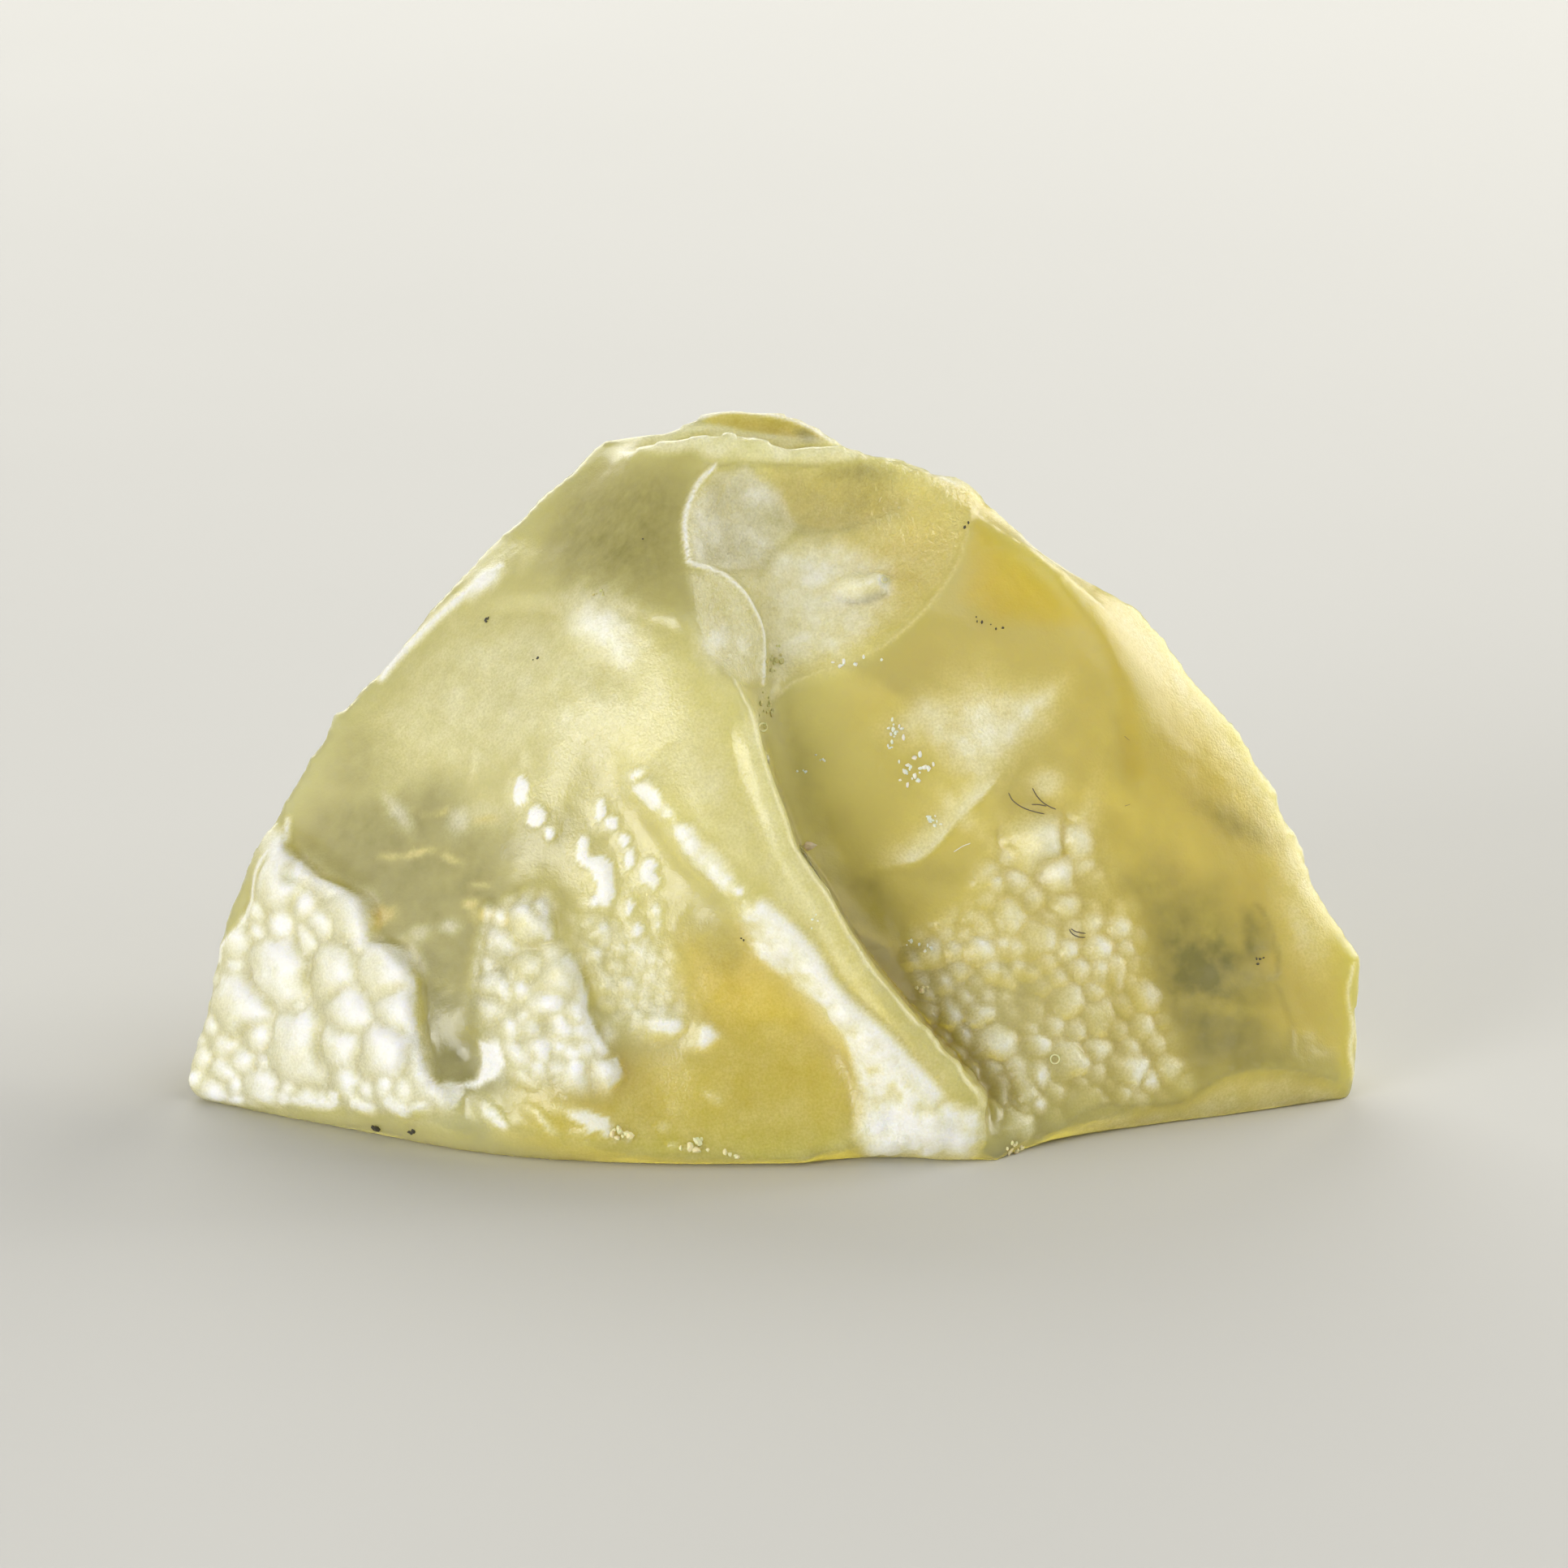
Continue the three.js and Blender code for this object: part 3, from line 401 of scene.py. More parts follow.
# soft frosted patches, some of them painted highlights along the upper left edge and on bright spots:
# (across, up, half width, half height, turn, strength)
frostAndHighlightPatches = [
    (-10.91, 0.81, 0.26, 0.72, -10, 0.5), (-9.18, 0.81, 0.26, 0.58, 0, 0.4),
    (-7.88, 2.42, 0.4, 0.46, -30, 0.6), (-7.25, 1.76, 0.29, 0.29, 0, 0.5),
    (-6.52, 1.04, 0.35, 0.23, -40, 0.4), (-5.08, 0.46, 0.46, 0.23, 35, 0.7),
    (-11.58, -1.21, 0.43, 0.64, -10, 0.6), (-13.74, -0.98, 0.35, 0.75, 30, 0.6),
    (-11.84, -5.08, 0.38, 0.29, 0, 0.6), (-12.96, -5.31, 0.4, 0.29, 0, 0.5),
    (-10.62, 7.16, 0.87, 0.32, 38, 0.95), (-11.72, 6.38, 0.87, 0.17, 38, 0.9),
    (-9.12, 7.97, 0.29, 0.58, -20, 0.2), (-17.03, -3.23, 0.52, 0.46, 0, 0.95),
    (-15.04, -4.68, 0.49, 0.75, 0, 0.95), (-13.31, -6.32, 0.35, 0.69, 10, 0.9),
    (-15.62, -6.61, 0.4, 0.75, 0, 0.9), (-10.36, -9.82, 0.4, 0.66, 8, 1),
    (-8.49, -4.5, 0.32, 0.52, 10, 0.95), (-7.53, -6.47, 0.46, 0.75, -30, 0.7),
    (-6.38, -9.12, 0.35, 0.52, -40, 0.8), (-6.09, -10.28, 0.29, 0.46, 0, 0.8),
    (10.51, -1.99, 0.4, 0.75, -10, 0.7), (9.79, -3.12, 0.52, 0.58, 0, 0.85),
    (8.05, -4.59, 0.35, 0.43, 0, 0.7), (7.04, -8.2, 0.35, 0.46, 0, 0.7), (9.12, -10.54, 0.2, 0.38, 0, 0.9),
    (9.09, -11.46, 0.23, 0.23, 0, 0.9), (12.96, -10.62, 0.29, 0.26, 0, 0.9),
    (13.68, -10.16, 0.35, 0.38, 0, 0.6), (11.95, -6.76, 0.23, 0.52, 0, 0.6),
    (5.37, -5.74, 0.2, 0.4, 0, 0.7), (5.74, -7.04, 0.29, 0.29, 0, 0.8), (-1.62, 4.94, 0.4, 0.64, 20, 0.7),
    (10.8, -1.56, 0.4, 1.73, -10, 0.3), (3.64, 7.1, 0.4, 0.35, 0, 0.9), (7.19, 1.76, 1.04, 0.87, -30, 0.8),
    (0.55, 7.68, 0.87, 0.75, 0, 0.5), (0.98, 5.95, 1.04, 0.58, 0, 0.5),
]

# painted shade as grey-olive patches, painted sheen and highlights as brighter glows, and painted reflections
# as yellow glints, written the same way
shadePatches = [
    (-2.3, -5.8, 1.0, 1.5, 20, 0.4), (-5.2, 0.0, 2.0, 0.5, 10, 0.15),
    (3.6, -4.6, 1.7, 0.9, -50, 0.42), (0.7, 0.2, 0.5, 1.9, 15, 0.3), (5.6, -3.2, 1.6, 0.4, -5, 0.25),
    (14.9, -6.5, 1.6, 1.8, 10, 1.0), (16.2, -9.7, 1.9, 0.6, -4, 0.55), (16.7, -5.6, 0.62, 1.2, 5, 0.75),
    (16.02, -1.33, 1.33, 0.4, -25, 0.5), (13.05, -3.58, 1.27, 0.64, 10, 0.4),
    (2.77, 11.03, 1.27, 0.43, -5, 0.75), (15.7, -8.2, 1.2, 0.6, 0, 0.5),
    (-11.72, -4.73, 2.6, 1.15, 0, 0.6),
    (-10.28, -2.14, 3.4, 1.1, 5, 0.5), (-14.9, 0.6, 1.3, 1.3, 30, 0.35), (-5.95, 9.41, 1.73, 2.6, 10, 0.45),
    (-4.79, 7.68, 1.44, 1.15, 0, 0.3), (0.75, 12.41, 0.64, 0.26, -20, 0.8),
    (-3.93, 12.93, 0.87, 0.23, 5, 0.6), (0.4, 9.12, 1.15, 0.29, -25, 0.35),
    (-11.72, -9.64, 0.58, 0.75, 0, 0.6), (-17.0, -4.39, 0.9, 0.4, 5, 0.45),
]
glows = [
    (1.21, 7.51, 1.1, 0.75, 30, 0.85), (0.29, 6.7, 0.75, 0.46, 20, 0.7), (0.55, 5.08, 1.04, 0.4, 15, 0.8),
    (-2.48, 5.08, 0.58, 0.75, -20, 0.85), (2.71, 7.97, 0.87, 0.58, 0, 0.45),
    (-6.52, 5.66, 1.33, 0.98, -25, 0.85), (-1.04, 1.91, 0.29, 1.15, -12, 0.5),
    (7.33, 2.48, 1.44, 0.98, -35, 0.55), (6.18, -0.98, 1.15, 0.35, -45, 0.5),
    (-3.64, 1.76, 1.73, 0.58, -35, 0.4), (-10.57, -0.98, 1.15, 0.64, 0, 0.35),
    (9.56, -3.18, 0.64, 0.58, 0, 0.8), (9.35, 0.03, 0.75, 0.58, 0, 0.5), (18.5, -5.2, 0.7, 1.4, 20, 0.45),
]
glints = [
    (-14.17, -4.59, 0.4, 0.35, 0, 0.8), (-10.57, -4.59, 0.46, 0.29, 0, 0.9),
    (-11.14, -4.21, 0.26, 0.2, 0, 0.8), (-9.84, -4.85, 0.26, 0.2, 0, 0.7),
    (-13.02, -2.42, 0.64, 0.14, 10, 0.6), (-11.72, -2.66, 0.46, 0.14, -10, 0.6),
    (-12.3, -0.98, 0.58, 0.14, 0, 0.5), (-10.57, -1.27, 0.4, 0.14, 10, 0.5),
    (-14.03, -2.57, 0.35, 0.14, 0, 0.5), (-10.85, -3.58, 0.35, 0.14, 0, 0.5),
    (-9.12, -5.02, 0.29, 0.14, 0, 0.5),
]

# rounded lumps: (across, up, radius), or (across, up, half width, half height, turn in degrees)
cobbles = {
    "plateau": [(-17.93, -3.44, 1.04), (-17.03, -3.23, 0.46), (-15.27, -4.76, 0.89), (-16.28, -5.08, 0.52),
                (-19.52, -5.6, 0.55), (-17.93, -6.76, 1.21), (-19.2, -7.79, 1.15), (-16.05, -6.76, 0.92),
                (-14.03, -6.64, 1.04), (-15.42, -8.05, 0.89), (-13.54, -8.2, 0.84), (-17.26, -9.35, 1.18),
                (-15.88, -9.27, 0.84), (-14.03, -9.44, 1.04), (-18.65, -8.95, 0.58), (-19.86, -9.3, 0.49),
                (-20.32, -8.55, 0.32), (-19.23, -9.82, 0.46), (-19.92, -10.16, 0.4), (-20.67, -9.79, 0.35),
                (-20.96, -10.54, 0.29), (-20.29, -10.97, 0.4), (-18.59, -10.74, 0.58),
                (-12.88, -10.22, 0.43), (-12.53, -10.85, 0.46), (-12.1, -11.37, 0.46),
                (-15.53, -10.62, 0.52), (-14.17, -10.68, 0.4), (-12.99, -9.58, 0.35)],
    "middle": [(-8.98, -4.88, 1.1, 0.75, -20), (-8.55, -4.5, 0.4, 0.52, 0),
               (-8.03, -6.61, 0.98, 0.87, -30), (-8.98, -6.47, 0.87, 0.46, 0),
               (-8.6, -7.85, 0.87, 0.49, 0), (-7.33, -8.14, 0.52, 0.4, 0), (-6.47, -9.18, 0.64, 0.46, -45),
               (-6.38, -10.39, 0.61, 0.58, 0), (-7.51, -10.65, 0.58, 0.52, 0),
               (-10.28, -7.22, 0.64, 0.52, -30), (-10.51, -8.03, 0.46, 0.52, 0),
               (-9.76, -8.66, 0.43, 0.38, -30), (-11.26, -6.47, 0.35, 0.58, -20),
               (-10.85, -9.12, 0.4, 0.23, 0), (-8.83, -9.35, 0.64, 0.35, 0), (-7.68, -9.58, 0.46, 0.23, 0),
               (-11.84, -5.08, 0.38, 0.29, 0),
               (-10.36, -9.82, 0.43, 0.69, 8)],
    "blobs": [(-9.38, -0.26, 0.35, 0.5, -10), (-8.89, -1.21, 0.34, 0.44, -20), (-8.4, -1.73, 0.22, 0.28, 0),
              (-7.22, -2.37, 0.32, 0.5, -10), (-6.95, -2.75, 0.28, 0.3, 0), (-6.61, -3.06, 0.42, 0.5, 0),
              (-6.41, -3.75, 0.38, 0.5, -20), (-6.84, -4.21, 0.32, 0.2, 20), (-6.45, -4.15, 0.28, 0.24, 0),
              (-6.61, -1.04, 0.26, 0.5, -15), (-6.18, -1.41, 0.28, 0.26, 0), (-5.77, -1.96, 0.22, 0.28, 0),
              (-5.6, -2.66, 0.26, 0.36, -10), (-4.91, -3.12, 0.32, 0.5, -25), (-4.68, -3.46, 0.22, 0.28, 0),
              (-5.57, -4.36, 0.2, 0.34, -10), (-4.56, -4.5, 0.2, 0.26, 0), (-4.47, -4.97, 0.16, 0.24, 0),
              (-5.25, -5.17, 0.26, 0.32, 0)],
    "cluster": [(-6.58, -5.2, 0.64, 0.29, 15), (-5.89, -5.89, 0.35, 0.32, 0),
                (-6.78, -6.12, 0.35, 0.35, 0), (-6, -6.52, 0.38, 0.32, 0), (-6.38, -7.19, 0.4, 0.23, 35),
                (-5.08, -7.39, 0.29, 0.26, 0), (-5.66, -7.79, 0.29, 0.26, 0),
                (-4.79, -6.29, 0.23, 0.23, 0), (-4.16, -6.76, 0.26, 0.23, 0),
                (-4.36, -7.27, 0.26, 0.23, 0), (-3.64, -7.51, 0.26, 0.23, 0), (-3, -7.62, 0.26, 0.29, 0),
                (-3.58, -6.87, 0.23, 0.23, 0), (-5.48, -5.74, 0.17, 0.35, 0)],
    "slick": [(-4.45, -8.55, 0.78, 0.4, -5), (-2.83, -8.83, 0.58, 0.35, -30), (-3, -9.18, 0.46, 0.29, 0),
              (-2.54, -11.14, 0.4, 0.17, -40), (-4.27, -12.24, 0.23, 0.17, 0)],
    "bandCaps": [(-5.37, 0.32, 0.43, 0.23, 35), (-5.2, -0.2, 0.46, 0.26, -15), (-4.7, -0.4, 0.6, 0.4, -25),
                 (-4.13, -0.89, 0.46, 0.3, -35), (-3.6, -1.7, 0.34, 0.3, -40), (-3.25, -2.1, 0.3, 0.38, 0),
                 (-2.95, -2.5, 0.4, 0.26, -50), (-2.5, -3.0, 0.36, 0.34, -20), (-2.1, -3.4, 0.42, 0.28, -45),
                 (-1.7, -3.75, 0.36, 0.24, -10), (-0.98, -4.36, 0.61, 0.23, 5)],
    "corner": [(9.21, -0.12, 0.64, 0.58, 0), (8.78, -1.85, 1.5, 0.98, -15), (10.28, -1.99, 0.64, 0.75, 0),
               (9.73, -3.15, 0.61, 0.66, 0), (8.72, -4.1, 0.4, 0.4, 0), (9.84, -4.39, 0.55, 0.46, 0),
               (7.85, -4.62, 0.55, 0.49, 0), (6.81, -5.95, 0.52, 0.46, 0), (7.77, -5.77, 0.26, 0.26, 0),
               (5.2, -5.95, 0.43, 0.43, 0), (5.63, -7.1, 0.38, 0.4, 0), (9.01, -5.54, 0.49, 0.58, 0),
               (9.3, -6.32, 0.35, 0.35, 0), (10.1, -5.95, 0.4, 0.46, 0), (8.83, -6.76, 0.29, 0.26, 0),
               (9.64, -6.9, 0.4, 0.35, 0), (11.84, -6.64, 0.38, 0.58, 0), (9.96, -7.79, 0.58, 0.58, 0),
               (6.93, -8.26, 0.55, 0.52, 0), (5.92, -8.31, 0.38, 0.61, 0), (7.13, -7.59, 0.29, 0.29, 0),
               (7.39, -9.3, 0.61, 0.61, 0), (11.84, -8.72, 0.29, 0.32, 0), (7.68, -10.94, 0.29, 0.46, 0),
               (9.06, -10.54, 0.29, 0.43, 0), (9.09, -11.46, 0.32, 0.29, 0),
               (12.96, -10.59, 0.38, 0.35, 0), (13.71, -10.16, 0.52, 0.49, 0),
               (13.14, -9.35, 0.38, 0.35, 0), (8.2, -9.99, 0.23, 0.23, 0), (10.51, -10.68, 0.32, 0.26, 0),
               (11.55, -10.83, 0.26, 0.23, 0), (8.78, -8.05, 0.4, 0.43, 0), (8.92, -9.35, 0.43, 0.4, 0),
               (10.94, -9.35, 0.4, 0.38, 0), (7.91, -6.99, 0.35, 0.35, 0), (8.11, -8.2, 0.35, 0.35, 0),
               (10.8, -5.02, 0.4, 0.4, 0), (8.49, -11.61, 0.23, 0.23, 0), (6.76, -7.19, 0.29, 0.29, 0)],
    "flakes": [(-18.13, -11.14, 1.04, 0.29, -8), (-16.2, -11.26, 0.38, 0.35, 0),
               (-15.3, -11.32, 0.23, 0.29, 0), (-13.97, -11.23, 1.04, 0.29, -22),
               (-10.51, -11.66, 0.87, 0.29, -38), (-8.6, -11.95, 0.81, 0.26, -42),
               (-7.33, -11.78, 1.15, 0.32, -18), (-7.04, -12.3, 0.58, 0.2, 25),
               (-6.38, -12.36, 0.35, 0.23, 0), (-6.03, -12.64, 0.23, 0.17, 0),
               (-5.54, -12.59, 0.2, 0.17, 0), (-3.98, -12.79, 0.23, 0.14, 0),
               (-3.44, -12.88, 0.26, 0.14, 0), (-3.06, -12.93, 0.17, 0.14, 0),
               (-11.98, -11.11, 0.52, 0.46, 0)],
}


# how far patches and lumps stray from their places: fineness of the noise and reach in mm
wander = ((900, 0.15), (2600, 0.08))


def ovalOf(lump):
    # across, up, half width, half height and turn
    across, up, wide = lump[:3]
    return (across, up, wide, *(lump[3:] or (wide, 0)))


class Sight:
    # the stone's vertices as the camera sees them, and strokes laid over them

    def __init__(self, obj):
        self.points = readPoints(obj.data)
        self.normals = readNormals(obj.data)
        self.edges = readEdges(obj.data)
        self.spot, eye = sightOf(self.points)
        self.seen = relax(seenShare(obj, self.points, self.normals, eye), self.edges, 4)
        self.loose = self.spot
        for fine, reach in wander:
            shift = np.array([noise.noise_vector(Vector(p * fine)) for p in self.points])
            self.loose = self.loose + shift[:, [0, 2]] * reach

    def softened(self, control, steps=6):
        # a smooth curve through a line's points
        p = [np.array(q) for q in control]
        p = [2 * p[0] - p[1]] + p + [2 * p[-1] - p[-2]]
        out = []
        for i in range(1, len(p) - 2):
            for s in range(steps):
                t = s / steps
                a, b, c, d = p[i - 1], p[i], p[i + 1], p[i + 2]
                out.append(0.5 * (2 * b + (c - a) * t + (2 * a - 5 * b + 4 * c - d) * t * t
                                  + (3 * b - a - 3 * c + d) * t ** 3))
        out.append(p[-2])
        return np.array(out)

    def along(self, name):
        # distance from a line in mm, its side (left is +1) and the share of its length
        line = self.softened(lines[name])
        lengths = np.linalg.norm(np.diff(line, axis=0), axis=1)
        total, done = lengths.sum(), 0
        near = np.full(len(self.spot), 1e9)
        side = np.zeros(len(self.spot))
        share = np.zeros(len(self.spot))
        for a, b, size in zip(line[:-1], line[1:], lengths):
            run = b - a
            gap = self.spot - a
            t = np.clip(gap @ run / (size * size), 0, 1)
            off = gap - t[:, None] * run
            away = np.hypot(off[:, 0], off[:, 1])
            closer = away < near
            near[closer] = away[closer]
            cross = run[0] * gap[:, 1] - run[1] * gap[:, 0]
            side[closer] = np.sign(cross[closer])
            share[closer] = ((done + t * size) / total)[closer]
            done += size
        return near, side, share

    def inside(self, name, soft, ragged=False):
        # 1 well inside a zone, 0 outside, eased over soft mm
        loop = np.array(zones[name])
        spot = self.loose if ragged else self.spot
        x, y = spot[:, 0], spot[:, 1]
        within = np.zeros(len(x), dtype=bool)
        near = np.full(len(x), 1e9)
        for a, b in zip(loop, np.roll(loop, -1, axis=0)):
            crosses = (a[1] > y) != (b[1] > y)
            rise = b[1] - a[1] if abs(b[1] - a[1]) > 1e-9 else 1e-9
            within ^= crosses & (x < (b[0] - a[0]) * (y - a[1]) / rise + a[0])
            run = b - a
            gap = spot - a
            t = np.clip(gap @ run / (run @ run), 0, 1)
            off = gap - t[:, None] * run
            near = np.minimum(near, np.hypot(off[:, 0], off[:, 1]))
        signed = np.where(within, near, -near)
        return ease(signed, -soft, soft) * self.seen

    def insideAny(self, names, soft):
        return np.maximum.reduce([self.inside(name, soft) for name in names])

    def mound(self, domes, tall, lean=0.45, curve=0.9):
        # rounded lumps that run together, each a little steeper on its right
        total = np.zeros(len(self.spot))
        for across, up, wide, high, turn in map(ovalOf, domes):
            x, y = self.turned(across, up, wide * 1.25, high * 1.25, turn)
            tilt = 1 + lean * np.clip((self.spot[:, 0] - across) / wide, -1, 1)
            dome = np.clip(1 - x * x - y * y, 0, 1) ** curve * tilt * min(wide, high) * tall
            total += dome ** 3
        return np.cbrt(total) * self.seen

    def halo(self, domes, grow):
        # a soft ring around each lump
        ring = np.zeros(len(self.spot))
        for across, up, wide, high, turn in map(ovalOf, domes):
            ring = np.maximum(ring, np.exp(-self.oval(across, up, wide * grow, high * grow, turn) ** 2))
        return ring * self.seen

    def turned(self, across, up, wide, high, turn, some=slice(None)):
        a = math.radians(turn)
        x, y = self.loose[some, 0] - across, self.loose[some, 1] - up
        return (x * math.cos(a) + y * math.sin(a)) / wide, (y * math.cos(a) - x * math.sin(a)) / high

    def crowd(self, zone, domes, size, room, seed, tries=3000, spread=(0.6, 1.5)):
        # domes drawn by lot wherever a zone has room between the named ones
        dice = random.Random(seed)
        loop = np.array(zones[zone])
        low, high = loop.min(0), loop.max(0)
        grown = [(across, up, min(wide, high)) for across, up, wide, high, turn in map(ovalOf, domes)]
        drawn = []
        for _ in range(tries):
            spot = (dice.uniform(low[0], high[0]), dice.uniform(low[1], high[1]))
            radius = size * dice.uniform(*spread)
            if all(math.hypot(spot[0] - a, spot[1] - b) > room * (radius + r) for a, b, r in grown + drawn):
                drawn.append((spot[0], spot[1], radius))
        return drawn

    def pressed(self, zone, soft, stones):
        # cobbles pressed together: their height, and how near each vertex is to a crest, lighter on each
        # cobble's right and upper side as a painted highlight
        mask = self.inside(zone, soft)
        near = np.nonzero(mask > 0.01)[0]
        away, size = [], []
        for across, up, wide, high, turn in map(ovalOf, stones):
            away.append(np.hypot(*self.turned(across, up, wide, high, turn, near)))
            size.append(math.sqrt(wide * high))
        away, size = np.stack(away, 1), np.array(size)
        first = away.argmin(1)
        order = np.sort(away, axis=1)
        off = (self.loose[near] - np.array([d[:2] for d in stones])[first]) / size[first][:, None]
        gap = np.clip((order[:, 1] - order[:, 0]) / 1.1, 0, 1)
        dome = 0.4 * np.clip(1 - 0.7 * order[:, 0] ** 2, 0, 1) * ease(gap, 0, 0.3)
        cushion = 0.6 * (1 - (1 - gap) ** 2) + dome
        height, litCrest = np.zeros(len(self.spot)), np.zeros(len(self.spot))
        height[near] = cushion * (1 + 0.4 * np.clip(off[:, 0], -1, 1)) * size[first] ** 0.8
        litCrest[near] = ease(gap, 0, 0.4) * np.clip(0.58 + 0.6 * off[:, 0] + 0.3 * off[:, 1], 0.05, 1)
        height, litCrest = relax(height, self.edges, 2), relax(litCrest, self.edges, 2)
        return height * mask, litCrest, mask

    def lip(self, name, height, width, ends=0.06):
        near, side, share = self.along(name)
        return height * np.exp(-(near / width) ** 2) * fade(share, ends) * self.seen

    def glow(self, name, high, reach, edge=0.09, ends=0.06):
        # 1 at a line on its high side, fading over the reach, 0 past the line
        near, side, share = self.along(name)
        across = near * side * high
        return ease(across, -edge, edge) * np.exp(-(across / reach) ** 2) * fade(share, ends) * self.seen

    def scarp(self, name, high, height, width, reach, ends=0.08):
        # the skin stands higher on one side of the line (high: +1 left, -1 right)
        near, side, share = self.along(name)
        across = near * side * high
        step = ease(across, -width, width) * (1 - ease(across, reach * 0.4, reach))
        foot = 0.25 * np.exp(-((across + width) / width) ** 2)
        return height * (step - foot) * fade(share, ends) * self.seen

    def oval(self, across, up, wide, high, turn=0.0):
        return np.hypot(*self.turned(across, up, wide, high, turn))


def cellLumps(points, mask, size, seed):
    # lumps that grow together like frogspawn, with a crease along every border
    height = np.zeros(len(points))
    shift = Vector((seed * 3.1, seed * 1.7, seed * 2.3))
    for i in np.nonzero(mask > 0.01)[0]:
        gaps = noise.voronoi(Vector(points[i] * (1000 / size)) + shift)[0]
        crease = min(1.0, (gaps[1] - gaps[0]) / 0.6)
        height[i] = math.sqrt(crease) * (1 - 0.35 * gaps[0])
    return height


def cloud(points, size, octaves, seed):
    shift = Vector((seed * 5.3, seed * 2.9, seed * 4.1))
    scale = 1000 / size
    return np.array([noise.fractal(Vector(p * scale) + shift, 1.0, 2.0, octaves) for p in points])


# Wear: facets go, crisp edges stay, and the solid's coarse lumps make room for fine ones

def wearDown():
    rough = Sight(stone)
    tree = KDTree(len(crisp))
    for k, p in enumerate(crisp):
        tree.insert(p, k)
    tree.balance()
    near = np.array([tree.find(Vector(p))[2] for p in rough.points]) * 1000
    wear = body["crispWear"] + (1 - body["crispWear"]) * ease(near, *body["crispReach"])
    coarse = rough.insideAny(*body["coarseZones"])
    wear = relax(np.maximum(wear, coarse), rough.edges, 2)
    face = rough.insideAny(*body["faceZones"])
    points = relax(rough.points, rough.edges, body["wearRounds"], wear[:, None] * 0.5)
    points = relax(points, rough.edges, body["faceRounds"], face[:, None] * 0.5)
    points = relax(points, rough.edges, body["lastRounds"], 0.4)
    # a worn edge gets back the height that it lost, so the outline stays full
    lost = ((rough.points - points) * rough.normals).sum(1) * (1 - coarse)
    lost = relax(np.clip(lost, 0, body["mostLost"]), rough.edges, 6)
    writePoints(stone.data, points + rough.normals * lost[:, None])


def refineFront():
    # the side the photograph shows gets a grid twice as fine
    show = Sight(stone).seen > 0.3
    bpy.ops.object.mode_set(mode="EDIT")
    bpy.ops.mesh.select_all(action="DESELECT")
    bpy.ops.object.mode_set(mode="OBJECT")
    picked = [all(show[v] for v in p.vertices) for p in stone.data.polygons]
    stone.data.polygons.foreach_set("select", picked)
    bpy.ops.object.mode_set(mode="EDIT")
    bpy.ops.mesh.select_mode(type="FACE")
    bpy.ops.mesh.subdivide(number_cuts=1, smoothness=1.0)
    bpy.ops.object.mode_set(mode="OBJECT")


reshape = {
    # flank of the great ridge: share of its length, floor strip fitted and strip moved (mm), most moved (m)
    "flankLength": (0.04, 0.95),
    "flankFitted": (1.6, 3.6),
    "flankMoved": (0.04, 0.3, 1.3, 2.0),
    "flankMost": 0.005,
    # trough: softness in mm and share of the way to the fitted curve
    "trough": (0.7, 0.85),
}


def fittedDepth(s, chosen):
    # each vertex's depth along the view, and a smooth surface fitted to the chosen ones
    forward = np.array(viewAxes()[0])
    depth = s.points @ forward
    x, y = s.spot[:, 0] / 10, s.spot[:, 1] / 10
    form = np.stack([x ** i * y ** j for i in range(4) for j in range(4 - i)], 1)
    fit = np.linalg.lstsq(form[chosen], depth[chosen], rcond=None)[0]
    return forward, depth, form @ fit


def squareRidge(s):
    # beside the great ridge the scoop's floor runs straight up to the cliff
    near, side, share = s.along("ridgeEdge")
    first, last = reshape["flankLength"]
    inner, outer = reshape["flankFitted"]
    edge, full, rest, far = reshape["flankMoved"]
    beside = (side > 0) & (s.seen > 0.5) & (share > first) & (share < last)
    forward, depth, smooth = fittedDepth(s, beside & (near > inner) & (near < outer))
    gain = np.clip(smooth - depth, 0, reshape["flankMost"]) * beside
    ends = ease(share, first, 0.14) * ease(last - share, 0, 0.08)
    gain *= ease(near, edge, full) * (1 - ease(near, rest, far)) * ends
    return forward * gain[:, None]


def openTrough(s):
    # between plateau and middle the ground lies open, one soft curve without folds
    soft, amount = reshape["trough"]
    share = s.inside("troughFloor", soft)
    forward, depth, smooth = fittedDepth(s, share > 0.4)
    return forward * ((smooth - depth) * share * amount)[:, None]


pickOnly(stone)
wearDown()
refineFront()
shaped = Sight(stone)
writePoints(stone.data, shaped.points + squareRidge(shaped) + openTrough(shaped))
sight = Sight(stone)
print("front refined:", len(stone.data.polygons), "faces,", int(sight.seen.sum()), "points in view")


